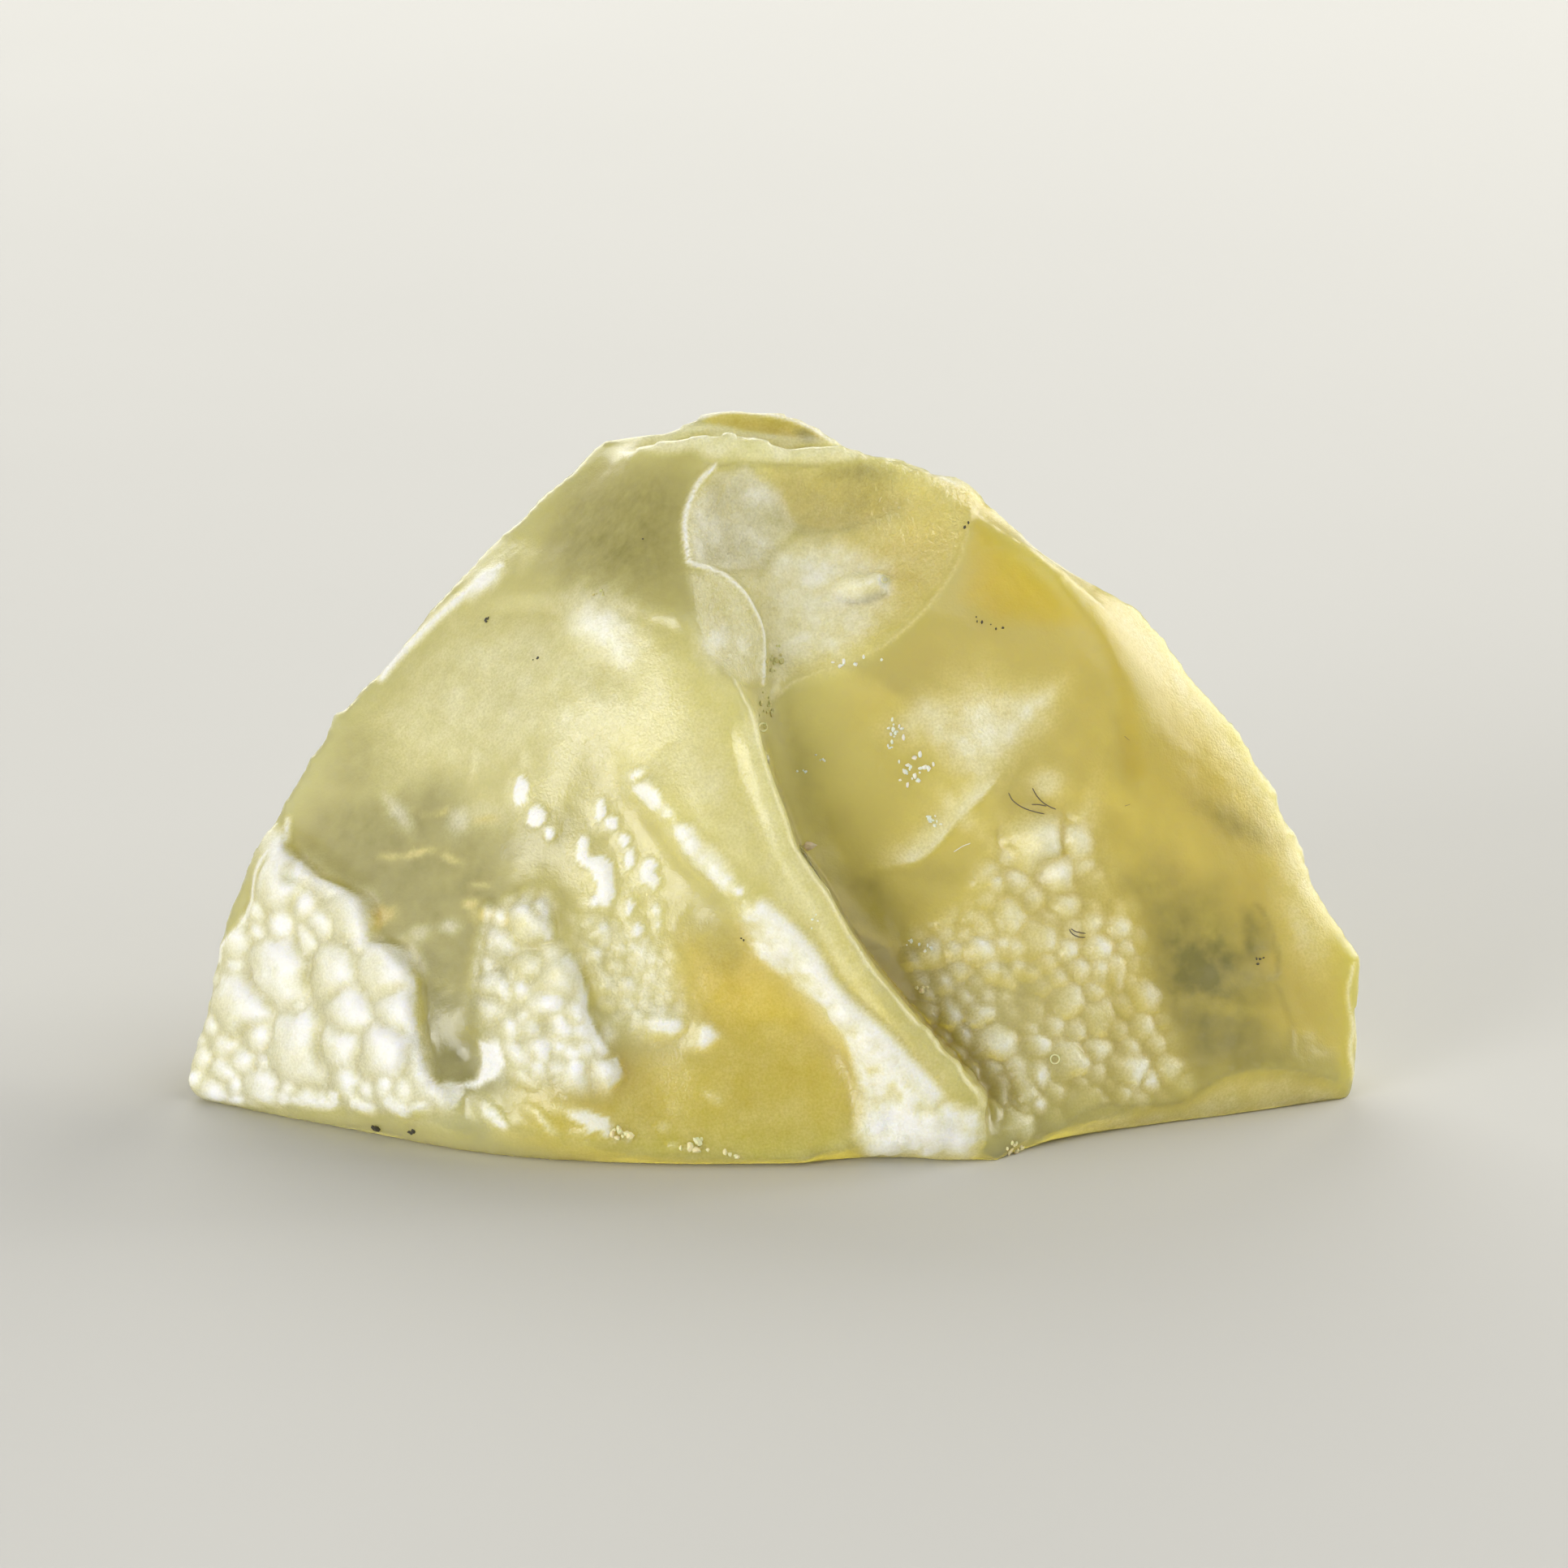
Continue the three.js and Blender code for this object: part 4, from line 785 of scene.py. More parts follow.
relief = {
    # pressed cobbles: zone and its softness, size and room of the drawn ones, height, least and most frost,
    # and how unevenly the field is covered
    "fields": {
        "plateau": ("plateauField", 0.3, 0.42, 0.9, 0.44, 0.5, 1.05, 0.2),
        "middle": ("middleField", 0.5, 0.44, 0.9, 0.48, 0.4, 1.05, 0.4),
        "cluster": ("blobField", 0.6, 0.27, 0.84, 0.42, 0.22, 1.0, 0.4),
        "corner": ("cornerField", 0.7, 0.46, 0.84, 0.42, 0.18, 0.68, 0.9),
    },
    # rounded lumps: zone to fill and its softness, size and room of the drawn ones, height, lean, curve,
    # least frost, height that is all frost
    "lumps": {
        "band": ("bandLower", 0.4, 0.34, 0.64, 0.34, 0.3, 1.0, 0.5, 0.14),
        "blobs": (None, 0, 0, 0, 0.42, 0.5, 0.85, 0, 0.09),
        "slick": (None, 0, 0, 0, 0.45, 0.45, 0.9, 0, 0.2),
        "bandCaps": (None, 0, 0, 0, 0.45, 0.45, 1.0, 0, 0.14),
        "flakes": (None, 0, 0, 0, 0.5, 0.45, 0.9, 0, 0.18),
    },
    # how far the painted highlight on each lump leans to its right side
    "litLean": 0.85,
    "halo": {"blobs": 0.55, "slick": 0.45, "bandCaps": 0.45, "flakes": 0.35},
    "haloReach": 1.9,
    "frostTop": {"band": 0.9, "blobs": 1.0, "slick": 0.95, "bandCaps": 0.95, "flakes": 0.9},
    # ledges: high side (+1 left of the line), height, width, reach, ends
    "ledges": {
        "plateauScarp": (-1, 0.3, 0.16, 2.4, 0.08), "middleScarpUpper": (-1, 0.24, 0.12, 1.4, 0.1),
        "middleScarp": (-1, 0.28, 0.14, 1.8, 0.08), "middleScarpFoot": (-1, 0.22, 0.12, 1.2, 0.1),
        "scoopLipCrisp": (-1, 0.12, 0.12, 1.2, 0.4), "roughBand": (1, 0.24, 0.5, 3.0, 0.06),
        "bandRight": (-1, 0.12, 0.16, 1.0, 0.12), "ridgeEdge": (-1, 0.2, 0.16, 1.0, 0.12),
        "shoulderEdge": (1, 0.16, 0.35, 2.4, 0.25), "lobeEdge": (-1, 0.14, 0.22, 1.6, 0.12),
        "dimpleEdge": (1, 0.05, 0.1, 0.9, 0.3), "facetEdge": (1, 0.03, 0.1, 0.6, 0.3),
    },
    "lips": {
        "upperScoopLeft": 0.13, "upperScoopLow": 0.11, "upperScoopRight": 0.05, "almondLeft": 0.05,
        "scoopTop": 0.04, "crestLine": 0.06, "leftEdgeLow": 0.08, "leftEdgeHigh": 0.06, "slickLine": 0.02,
        "scallop": 0.05, "uprightEdge": 0.02, "endBevel": 0.05, "endLine": 0.06, "sideLine": 0.012,
    },
    "lipWidth": 0.13,
    # fine lines pressed in: depths, half width and the share that fades out at each end
    "cuts": {"creaseUpper": -0.1, "creaseLower": -0.1, "bumpFoot": -0.08, "darkCrease": -0.04},
    "cutWidth": 0.2,
    "cutEnds": 0.3,
    # painted shade: olive in the grooves between cobbles, darker on each cobble's left and lower side
    "grooveShades": {"plateau": 0.34, "middle": 0.3, "cluster": 0.2, "corner": 0.22},
    # clouds of noise: size in mm, octaves and seed
    "ripple": (0.9, 3, 4),
    "fine": (0.4, 2, 9),
    "swell": (2.8, 3, 21),
    # the white band along the great ridge: softness of its lower and upper part, ridges along and across it,
    # heights of its swelling, ripples, fine ripples and ridges, and the frost of both parts and of its foot
    "bandSoft": (0.4, 0.28),
    "bandRidges": (70, 2.5),
    "bandHeights": (0.05, 0.08, 0.03, 0.035),
    "bandFrost": ((0.58, 0.32, 0.1), (0.7, 0.3), (0.9, 0.1)),
    # across, up, half width, half height, turn, depth or height
    "hollows": [(-11.35, -9.7, 0.8, 0.95, 15, -0.3), (16.8, -5.6, 0.8, 1.3, 0, -0.08)],
    "bumps": [(2.85, 7.06, 1.05, 0.5, 12, 0.5), (3.4, 7.2, 0.38, 0.34, 0, 0.2),
              (-6.5, 5.3, 1.6, 1.0, -20, 0.12)],
    "seed": 11,
}


def carveFront():
    s = sight
    rise, cream, grooveShade = (np.zeros(len(s.points)) for _ in range(3))
    ripple, fine, swell = (cloud(s.points, *relief[name]) for name in ("ripple", "fine", "swell"))
    # fields of pressed cobbles
    for k, (name, rule) in enumerate(relief["fields"].items()):
        zone, soft, size, room, tall, least, most, uneven = rule
        stones = cobbles[name] + s.crowd(zone, cobbles[name], size, room, relief["seed"] + k)
        height, litCrest, mask = s.pressed(zone, soft, stones)
        cover = np.clip(1 + uneven * swell, 0.3, 1.4)
        rise += height * tall * cover + mask * ripple * 0.03
        # frost lighter toward each cobble's top and right side as a painted highlight, and painted shade in
        # the grooves
        cream = np.maximum(cream, mask * (least + (most - least) * litCrest) * cover * (1 + 0.12 * ripple))
        grooveShade = np.maximum(grooveShade, mask * (1 - litCrest) * relief["grooveShades"][name])
    # rounded lumps
    for k, (name, rule) in enumerate(relief["lumps"].items()):
        zone, soft, size, room, tall, lean, curve, least, full = rule
        domes = cobbles.get(name, [])
        mask = 1.0
        if zone:
            domes = domes + s.crowd(zone, domes, size, room, relief["seed"] + k)
            mask = s.inside(zone, soft)
            cream = np.maximum(cream, mask * least * (1 + 0.25 * ripple))
        big = s.mound(domes, tall, lean, curve) * mask
        rise += big * (1 + 0.2 * ripple)
        # painted highlight: frost on each lump's top, heaviest on its right side where light falls
        lit = s.mound(domes, tall, relief["litLean"], curve) * mask * (1 + 0.3 * ripple + 0.35 * fine)
        cream = np.maximum(cream, ease(lit, 0.0, full) * relief["frostTop"][name])
        if name in relief["halo"]:
            cream = np.maximum(cream, s.halo(domes, relief["haloReach"]) * relief["halo"][name])
    for name, (high, step, wide, reach, ends) in relief["ledges"].items():
        rise += s.scarp(name, high, step, wide, reach, ends)
    for name, tall in relief["lips"].items():
        rise += s.lip(name, tall, relief["lipWidth"])
    for name, deep in relief["cuts"].items():
        rise += s.lip(name, deep, relief["cutWidth"], relief["cutEnds"])
    # the rough white band along the great ridge
    torn = ease(ripple + fine * 0.6, -0.7, 0.2)
    softLow, softTop = relief["bandSoft"]
    lower, upper = s.inside("bandLower", softLow, True), s.inside("bandTop", softTop, True)
    near, side, share = s.along("bandRight")
    often, slant = relief["bandRidges"]
    ridged = np.sin(share * often + near * slant + ripple * slant) * np.exp(-near ** 2)
    swelling, waves, small, ridges = relief["bandHeights"]
    rise += (lower + upper) * (swelling + waves * ripple + small * fine + ridges * ridged)
    rise += s.lip("roughBand", 0.16, 0.5)
    (low, mid, high), (least, more), (footLeast, footMore) = relief["bandFrost"]
    cream = np.maximum(cream, upper * (least + more * torn))
    cream = np.maximum(cream, lower * (low + mid * torn + high * ridged))
    # painted highlight along the lit right edge of the band
    cream = np.maximum(cream, s.glow("bandRight", -1, 1.3, 0.24))
    cream = np.maximum(cream, s.inside("ridgeFoot", 0.75, True) * (footLeast + footMore * torn))
    # hollows and bumps
    for *place, deep in relief["hollows"]:
        rise += deep * np.exp(-s.oval(*place) ** 2 * 1.2) * s.seen
    for *place, tall in relief["bumps"]:
        rise += tall * np.clip(1 - s.oval(*place) ** 2, 0, 1) ** 0.8 * s.seen
    # the broken bubble between plateau and middle: a clear floor, and its wall painted white as a highlight
    # where light falls
    floor, litWall = s.inside("bowlFloor", 0.4), s.inside("bowlFacet", 0.15)
    cream = np.maximum(cream * (1 - floor * 0.9), litWall)
    return relax(rise, s.edges, 1, 0.4), cream, grooveShade


skin = {
    # clouds of noise: size in mm, octaves and seed
    "grit": (2.6, 4, 1),
    "patches": (6.0, 3, 7),
    "frayed": (1.4, 3, 12),
    # pitted patches of the hidden side: lump size in mm and seed, then heights in mm
    "pits": (2.3, 5),
    "pitFloor": 0.3,
    "pitHeight": 0.42,
    "gritHeight": 0.05,
    "waveHeight": 0.05,
    # the resting face stays flat up to these heights in mm, and the box may be passed by this much
    "restBand": (0.05, 0.5),
    "pastBox": 0.0001,
    # floor of the broken bubble: across, up, half width, half height, and smoothing rounds
    "bowl": (-11.2, -10.0, 1.1, 1.2),
    "bowlRounds": 12,
}
rise, cream, grooveShade = carveFront()
grit, patches, frayed = (cloud(sight.points, *skin[name]) for name in ("grit", "patches", "frayed"))
rise += grit * skin["gritHeight"]
hiddenSide = 1 - sight.seen
pitted = hiddenSide * ease(patches + 0.2 * frayed, 0.0, 0.35)
lumps = relax(cellLumps(sight.points, pitted, *skin["pits"]), sight.edges, 2)
rise += (lumps - skin["pitFloor"]) * skin["pitHeight"] * pitted
rise += (1 - pitted) * hiddenSide * skin["waveHeight"] * np.sin(grit * 3 + patches * 9)
resting = ease(sight.points[:, 2] * 1000, *skin["restBand"])
moved = sight.points + sight.normals * (rise * resting)[:, None] * 0.001
moved = np.clip(moved, np.array(cadLow) - skin["pastBox"], np.array(cadHigh) + skin["pastBox"])
moved[:, 2] = np.maximum(moved[:, 2], 0)
bowl = np.exp(-sight.oval(*skin["bowl"]) ** 2)[:, None] * sight.seen[:, None] * 0.5
writePoints(stone.data, relax(moved, sight.edges, skin["bowlRounds"], bowl))
print("front carved")


# Colour masks, kept as attributes of the mesh

tint = {
    # frost, with a painted highlight at brightSpot and painted sheen at scoopSheen: amount and softness
    "frostAndHighlight": {"scoopFrost": (0.58, 0.3), "almond": (0.4, 0.25), "hollowFrost": (0.6, 0.9),
              "upperScoop": (0.22, 0.25), "paleFace": (0.38, 1.8), "paleSkin": (0.34, 0.6),
              "brightSpot": (0.7, 0.9), "scoopSheen": (0.62, 0.8), "rightPale": (0.48, 0.9),
              "scallopFacet": (0.3, 0.3), "backRim": (0.28, 0.12), "slickFloor": (0.24, 1.3),
              "middleField": (0.35, 0.6), "crestPale": (0.5, 0.25), "backRimDark": (0.1, 0.2)},
    "amber": {"goldPatch": (0.95, 1.1), "slickFloor": (1.0, 1.5), "backRim": (0.9, 0.15),
              "cornerField": (0.36, 0.8), "scoopClear": (0.45, 0.6), "oliveCorner": (0.5, 1.0),
              "scallopFacet": (0.5, 0.3)},
    # olive: in part the glass's own tone, in part painted shade where the clear glass looks dark, as on the
    # bowl's floor
    "olive": {"oliveZone": (0.6, 1.2), "troughFloor": (0.55, 0.5), "oliveCorner": (0.55, 1.0),
              "oliveTop": (0.62, 1.6), "scoopClear": (0.4, 0.6), "scoopFrost": (0.45, 0.5),
              "backRimDark": (0.8, 0.2), "bowlFloor": (0.5, 0.2), "backRim": (0.42, 0.15)},
    # painted highlights as bright thin lines along edges, laid into the frost: amount and half width
    "rims": {"upperScoopLeft": (1.0, 0.1), "upperScoopLow": (0.95, 0.08), "upperScoopRight": (0.28, 0.08),
             "leftEdgeLow": (0.9, 0.12), "leftEdgeHigh": (0.95, 0.17), "crestBand": (0.7, 0.4),
             "rightBevel": (0.25, 0.6), "crestLine": (0.5, 0.25), "outlineRim": (0.95, 0.16),
             "backRimTop": (0.9, 0.13), "endLine": (0.6, 0.09)},
    # painted shade as soft dark lines along creases and under edges: amount and half width
    "creases": {"bumpFoot": (0.7, 0.12), "dimpleEdge": (0.4, 0.12), "scoopTop": (0.42, 0.13),
                "lobeEdge": (0.38, 0.15), "almondLeft": (0.25, 0.1), "facetEdge": (0.25, 0.14),
                "uprightEdge": (0.2, 0.14), "darkCrease": (0.15, 0.4), "scallop": (0.3, 0.12)},
    "creaseEnds": 0.15,
    # frost with a painted highlight on the high side of a line, stopping short at it: high side, amount,
    # reach and fading ends
    "glows": {"plateauScarp": (-1, 0.95, 0.9, 0.06), "middleScarpUpper": (-1, 0.95, 0.6, 0.06),
              "middleScarp": (-1, 0.92, 0.8, 0.06), "middleScarpFoot": (-1, 0.92, 0.6, 0.06),
              "scoopLipCrisp": (-1, 0.65, 0.9, 0.3)},
    # how far specks fray the soft patches, and how fast these fade
    "fray": {"frostAndHighlight": (0.3, 0.8), "olive": (0.35, 0.9), "glint": (0.7, 1.1)},
    "speck": (0.8, 4, 12),
    # amounts on the hidden side: frost in the pitted patches at least and more on lumps, then elsewhere
    "pitFrost": (0.4, 0.3),
    "hiddenFrost": 0.3,
    "hiddenAmber": 0.55,
    "hiddenOlive": 0.35,
}


def paint():
    s = sight
    speck = cloud(s.points, *tint["speck"])

    def blot(patch, kind):
        # one soft patch with a frayed border
        fray, fall = tint["fray"][kind]
        away = s.oval(*patch[:5]) + speck * fray
        return patch[5] * np.exp(-away ** 2 * fall) * s.seen

    # frost from the relief, which carries the painted highlights on the lumps' lit sides and on the bowl's
    # wall
    frostAndHighlight = cream * 0.98
    for name, (amount, soft) in tint["frostAndHighlight"].items():
        frostAndHighlight = np.maximum(frostAndHighlight, s.inside(name, soft) * amount * (1 + 0.4 * speck))
    # frost patches, and painted sheen and highlights
    for patch in frostAndHighlightPatches + glows:
        frostAndHighlight = np.maximum(frostAndHighlight, blot(patch, "frostAndHighlight"))
    # painted highlights along edges
    for name, (amount, wide) in tint["rims"].items():
        near, side, share = s.along(name)
        frostAndHighlight = np.maximum(frostAndHighlight, amount * np.exp(-(near / wide) ** 2) * s.seen)
    # frost with a painted highlight on the high side of ledges
    for name, (high, amount, reach, ends) in tint["glows"].items():
        frostAndHighlight = np.maximum(frostAndHighlight, s.glow(name, high, reach, ends=ends) * amount * (1 + 0.2 * speck))
    frostAndHighlight = frostAndHighlight * (1 - 0.8 * s.inside("goldPatch", 0.5))
    ridgeNear, ridgeSide, ridgeShare = s.along("ridgeEdge")
    pastRidge = ease(ridgeNear * ridgeSide, -0.05, 0.15) * ease(ridgeShare, 0.0, 0.1)
    pastRidge *= 1 - ease(ridgeNear, 0.5, 1.2)
    frostAndHighlight = frostAndHighlight * (1 - 0.75 * pastRidge)
    # the right half is amber, the left half paler
    amber = 0.38 * ease(s.spot[:, 0], -0.5, 4.5) + 0.2 * ease(s.spot[:, 0], 8, 13)
    near, side, share = s.along("softRidge")
    amber = np.maximum(amber, 0.75 * np.exp(-(near / 0.9) ** 2)) * s.seen
    for name, (amount, soft) in tint["amber"].items():
        amber = np.maximum(amber, amount * s.inside(name, soft))
    # painted shade in the grooves between cobbles
    olive = grooveShade.copy()
    for name, (amount, soft) in tint["olive"].items():
        olive = np.maximum(olive, amount * s.inside(name, soft) * (1 + 0.3 * patches))
    # painted shade as grey-olive patches
    for patch in shadePatches:
        olive = np.maximum(olive, blot(patch, "olive"))
    # painted shade along creases
    for name, (amount, wide) in tint["creases"].items():
        near, side, share = s.along(name)
        ends = fade(share, tint["creaseEnds"])
        olive = np.maximum(olive, amount * np.exp(-(near / wide) ** 2) * ends * s.seen)
    streaky = s.inside("upperFace", 1.2)
    wrinkled = np.maximum(s.inside("scoopFrost", 0.6), s.inside("almond", 0.3))
    wrinkled = np.maximum(s.inside("upperScoop", 0.3) * 0.6, wrinkled)
    # painted reflections: yellow glints as amber and a little frost, with less olive
    for patch in glints:
        bright = blot(patch, "glint")
        olive, amber = olive * (1 - bright), np.maximum(amber, bright * 0.8)
        frostAndHighlight = np.maximum(frostAndHighlight, bright * 0.5)
    least, more = tint["pitFrost"]
    frostAndHighlight = np.maximum(frostAndHighlight, pitted * (least + more * ease(lumps + 0.2 * grit, 0.2, 0.95)))
    frostAndHighlight = np.maximum(frostAndHighlight, hiddenSide * ease(grit, -0.3, 0.5) * tint["hiddenFrost"])
    amber = np.maximum(amber, hiddenSide * ease(-patches, -0.2, 0.6) * tint["hiddenAmber"])
    olive = np.maximum(olive, hiddenSide * ease(grit, 0.1, 0.7) * (1 - pitted) * tint["hiddenOlive"])
    for name, values in (("frostAndHighlight", frostAndHighlight), ("amber", amber), ("olive", olive), ("streaky", streaky),
                         ("wrinkled", wrinkled)):
        layer = stone.data.attributes.new(name, "FLOAT", "POINT")
        layer.data.foreach_set("value", np.clip(values, 0, 1).astype(np.float32))


paint()
print("masks painted")


# Shader building: sockets with plain arithmetic

class Wire:
    def __init__(self, shader, socket):
        self.shader, self.socket = shader, socket

    def maths(self, operation, first, second):
        return self.shader.node("ShaderNodeMath", {"operation": operation}, {0: first, 1: second})[0]

    def __add__(self, other):
        return self.maths("ADD", self, other)

    __radd__ = __add__

    def __sub__(self, other):
        return self.maths("SUBTRACT", self, other)

    def __rsub__(self, other):
        return self.maths("SUBTRACT", other, self)

    def __mul__(self, other):
        return self.maths("MULTIPLY", self, other)

    __rmul__ = __mul__


class Shader:
    def __init__(self, name):
        self.material = bpy.data.materials.new(name)
        self.material.use_nodes = True
        self.tree = self.material.node_tree
        self.tree.nodes.clear()

    def node(self, kind, settings=None, inputs=None):
        made = self.tree.nodes.new(kind)
        for key, value in (settings or {}).items():
            setattr(made, key, value)
        for key, value in (inputs or {}).items():
            if isinstance(value, Wire):
                self.tree.links.new(value.socket, made.inputs[key])
            else:
                made.inputs[key].default_value = value
        return [Wire(self, out) for out in made.outputs]

    def mixColour(self, share, first, second):
        return self.node("ShaderNodeMix", {"data_type": "RGBA"}, {0: share, 6: first, 7: second})[2]

    def mask(self, name):
        return self.node("ShaderNodeAttribute", {"attribute_name": name})[2]

    def cloudy(self, place, scale, detail, bend=0.0):
        return self.node("ShaderNodeTexNoise", None,
                         {"Vector": place, "Scale": scale, "Detail": detail, "Distortion": bend})[0]


glassLook = {
    "pale": (0.86, 0.81, 0.39, 1),
    "amber": (0.95, 0.75, 0.115, 1),
    "olive": (0.40, 0.37, 0.13, 1),
    "white": (0.955, 0.955, 0.90, 1),
    "absorb": (0.90, 0.86, 0.08, 1),
    "density": 85.0,
    "bend": 1.46,
    # how clear, how light spreads inside for each colour and over how many metres, least roughness and more
    "clear": (0.52, (1.0, 1.0, 0.6), 0.003, 0.2, 0.08),
    "milky": (0.14, (1.0, 0.93, 0.68), 0.0008, 0.34, 0.2),
    "speckle": 1.8,
    # noises: scale, detail and distortion
    "grain": (11000.0, 2.0),
    "coarse": (3200.0, 3.0),
    "mottle": (1300.0, 4.0),
    "drift": (300.0, 4.0),
    "wrinkle": (4200.0, 3.0, 0.6),
    # streaks drawn out upward
    "drawnOut": (5200, 5200, 520),
    "bump": (0.7, 0.00006),
}


def glassMaterial():
    s = Shader("desertGlass")
    place = s.node("ShaderNodeTexCoord")[3]
    frostAndHighlight, amber, olive = s.mask("frostAndHighlight"), s.mask("amber"), s.mask("olive")
    streaky, wrinkled = s.mask("streaky"), s.mask("wrinkled")
    grain, coarse, mottle, drift, wrinkle = (s.cloudy(place, *glassLook[name])
                                             for name in ("grain", "coarse", "mottle", "drift", "wrinkle"))
    drawn = s.node("ShaderNodeVectorMath", {"operation": "MULTIPLY"}, {0: place, 1: glassLook["drawnOut"]})[0]
    streak = s.cloudy(drawn, 1.0, 3.0)
    colour = s.mixColour(amber * (0.75 + drift * 0.5), glassLook["pale"], glassLook["amber"])
    # olive darkens the colour: in part the glass's own tone, in part painted shade
    blotch = mottle * 1.3 + coarse * 0.3 + (streak - 0.5) * streaky * 0.9 + 0.2
    colour = s.mixColour(olive * blotch, colour, glassLook["olive"])
    # frost and painted highlights break up into grains where they thin out
    edge = frostAndHighlight * (1.15 - frostAndHighlight) * glassLook["speckle"]
    speckled = frostAndHighlight + (grain - 0.5) * edge + (coarse - 0.5) * edge * 0.3
    height = grain * (0.12 + frostAndHighlight) + coarse * (0.2 + frostAndHighlight * 0.6) + drift * 0.6
    height = height + streaky * streak * 0.3 + wrinkled * wrinkle * 3.4
    strength, distance = glassLook["bump"]
    bump = s.node("ShaderNodeBump", None, {"Strength": strength, "Distance": distance, "Height": height})[0]
    # white where frost and painted highlights lie
    white = s.mixColour(frostAndHighlight, colour, glassLook["white"])
    layers = []
    for name, shade, uneven in (("clear", colour, drift), ("milky", white, grain)):
        clearness, spread, reach, smooth, rougher = glassLook[name]
        layers.append(s.node("ShaderNodeBsdfPrincipled", None, {
            "Base Color": shade, "Roughness": smooth + uneven * rougher, "IOR": glassLook["bend"],
            "Transmission Weight": clearness, "Subsurface Weight": 1.0,
            "Subsurface Radius": spread, "Subsurface Scale": reach, "Normal": bump})[0])
    both = s.node("ShaderNodeMixShader", None, {0: speckled, 1: layers[0], 2: layers[1]})[0]
    inside = s.node("ShaderNodeVolumeAbsorption", None,
                    {"Color": glassLook["absorb"], "Density": glassLook["density"]})[0]
    s.node("ShaderNodeOutputMaterial", None, {"Surface": both, "Volume": inside})
    return s.material


# Dirt that lies on the stone: lint, crumbs, specks and burst bubbles

dirt = {
    # lint fibres: places along each one
    "lint": [
        [(7.98, -0.31), (8.13, -0.58), (8.46, -0.83), (8.89, -1), (9.27, -1.09)],
        [(8.83, -0.14), (8.97, -0.4), (9.18, -0.64), (9.43, -0.8), (9.67, -0.91)],
        [(8.8, -0.73), (9.06, -0.74), (9.34, -0.79)],
        [(10.15, -5.18), (10.24, -5.31), (10.45, -5.43), (10.72, -5.46)],
        [(10.21, -5.16), (10.39, -5.26), (10.74, -5.31)],
        [(12.1, 1.7), (12.27, 1.56)],
        [(12.12, -0.78), (12.3, -0.72)],
    ],
    # half thicknesses and the gap under a thread, in mm
    "lintThick": 0.021,
    "scratchThick": 0.018,
    "ringThick": 0.03,
    "gap": 0.012,
    # crumbs: across, up, spread to each side, how many, smallest and largest half size
    "whiteCrumb": [(3.93, 1.91, 0.26, 0.43, 13, 0.035, 0.092), (4.68, 0.58, 0.58, 0.49, 20, 0.035, 0.104),
                   (5.31, -1.39, 0.35, 0.29, 10, 0.035, 0.081), (3.72, 1.39, 0.2, 0.14, 4, 0.029, 0.058),
                   (0.55, 0.46, 0.26, 0.14, 4, 0.029, 0.058), (1.27, 0.89, 0.26, 0.14, 4, 0.029, 0.058),
                   (2.42, 4.33, 0.98, 0.23, 8, 0.043, 0.087), (0.98, -5.17, 0.17, 1.15, 4, 0.029, 0.052),
                   (5.02, -5.83, 0.23, 0.17, 5, 0.043, 0.087), (4.39, -5.6, 0.14, 0.14, 3, 0.029, 0.069)],
    "greenCrumb": [(-0.32, 4.39, 0.38, 0.43, 15, 0.043, 0.104),
                   (-0.58, 2.48, 0.29, 0.69, 14, 0.043, 0.098), (-6.52, 6.84, 0.52, 0.17, 6, 0.029, 0.058)],
    "glassCrumb": [(-3.2, -12.82, 0.49, 0.29, 9, 0.058, 0.144),
                   (-5.83, -12.53, 0.46, 0.35, 9, 0.058, 0.144),
                   (8.4, -12.99, 0.58, 0.38, 15, 0.058, 0.13),
                   (-1.76, -13.16, 0.35, 0.17, 4, 0.058, 0.115), (4.99, -7.27, 0.2, 0.17, 4, 0.058, 0.115)],
    "darkSpeck": [(6.9, 5.8, 0.14, 0.09, 3, 0.029, 0.058), (6.47, 9.18, 0.09, 0.09, 2, 0.035, 0.064),
                  (16.86, -6.26, 0.14, 0.17, 4, 0.035, 0.069), (-1.47, -5.51, 0.09, 0.06, 2, 0.029, 0.052),
                  (-8.83, 4.45, 0.14, 0.14, 3, 0.029, 0.052), (-10.65, 5.89, 0.14, 0.17, 3, 0.043, 0.075),
                  (-14.46, -12.24, 0.2, 0.09, 5, 0.058, 0.115),
                  (-13.31, -12.41, 0.23, 0.12, 5, 0.043, 0.092), (7.51, 5.66, 0.23, 0.14, 3, 0.023, 0.046),
                  (4.85, 11.29, 0.09, 0.06, 2, 0.035, 0.064), (-5.02, 8.78, 0.09, 0.09, 1, 0.029, 0.04),
                  (11.81, -12.53, 0.09, 0.09, 1, 0.029, 0.046)],
    "paleGrain": [(0.92, -2.19, 0.03, 0.03, 1, 0.173, 0.188)],
    # ring marks of burst bubbles: across, up, half width
    "rings": [(9.64, -9.79, 0.159), (3.58, 7.27, 0.104), (-0.75, 2.02, 0.144)],
    "scratch": [(6.03, -2.42), (6.35, -2.22), (6.64, -2.11)],
    # crumbs gather round their places by this share of the spread, and sizes are scaled to metres
    "gather": 0.55,
    "crumbScale": 0.0013,
    "shades": {"lint": (0.13, 0.11, 0.09, 1), "whiteCrumb": (0.93, 0.92, 0.84, 1),
               "greenCrumb": (0.62, 0.58, 0.24, 1), "glassCrumb": (0.88, 0.80, 0.45, 1),
               "darkSpeck": (0.05, 0.045, 0.03, 1), "paleGrain": (0.82, 0.70, 0.52, 1)},
    "seed": 23,
}


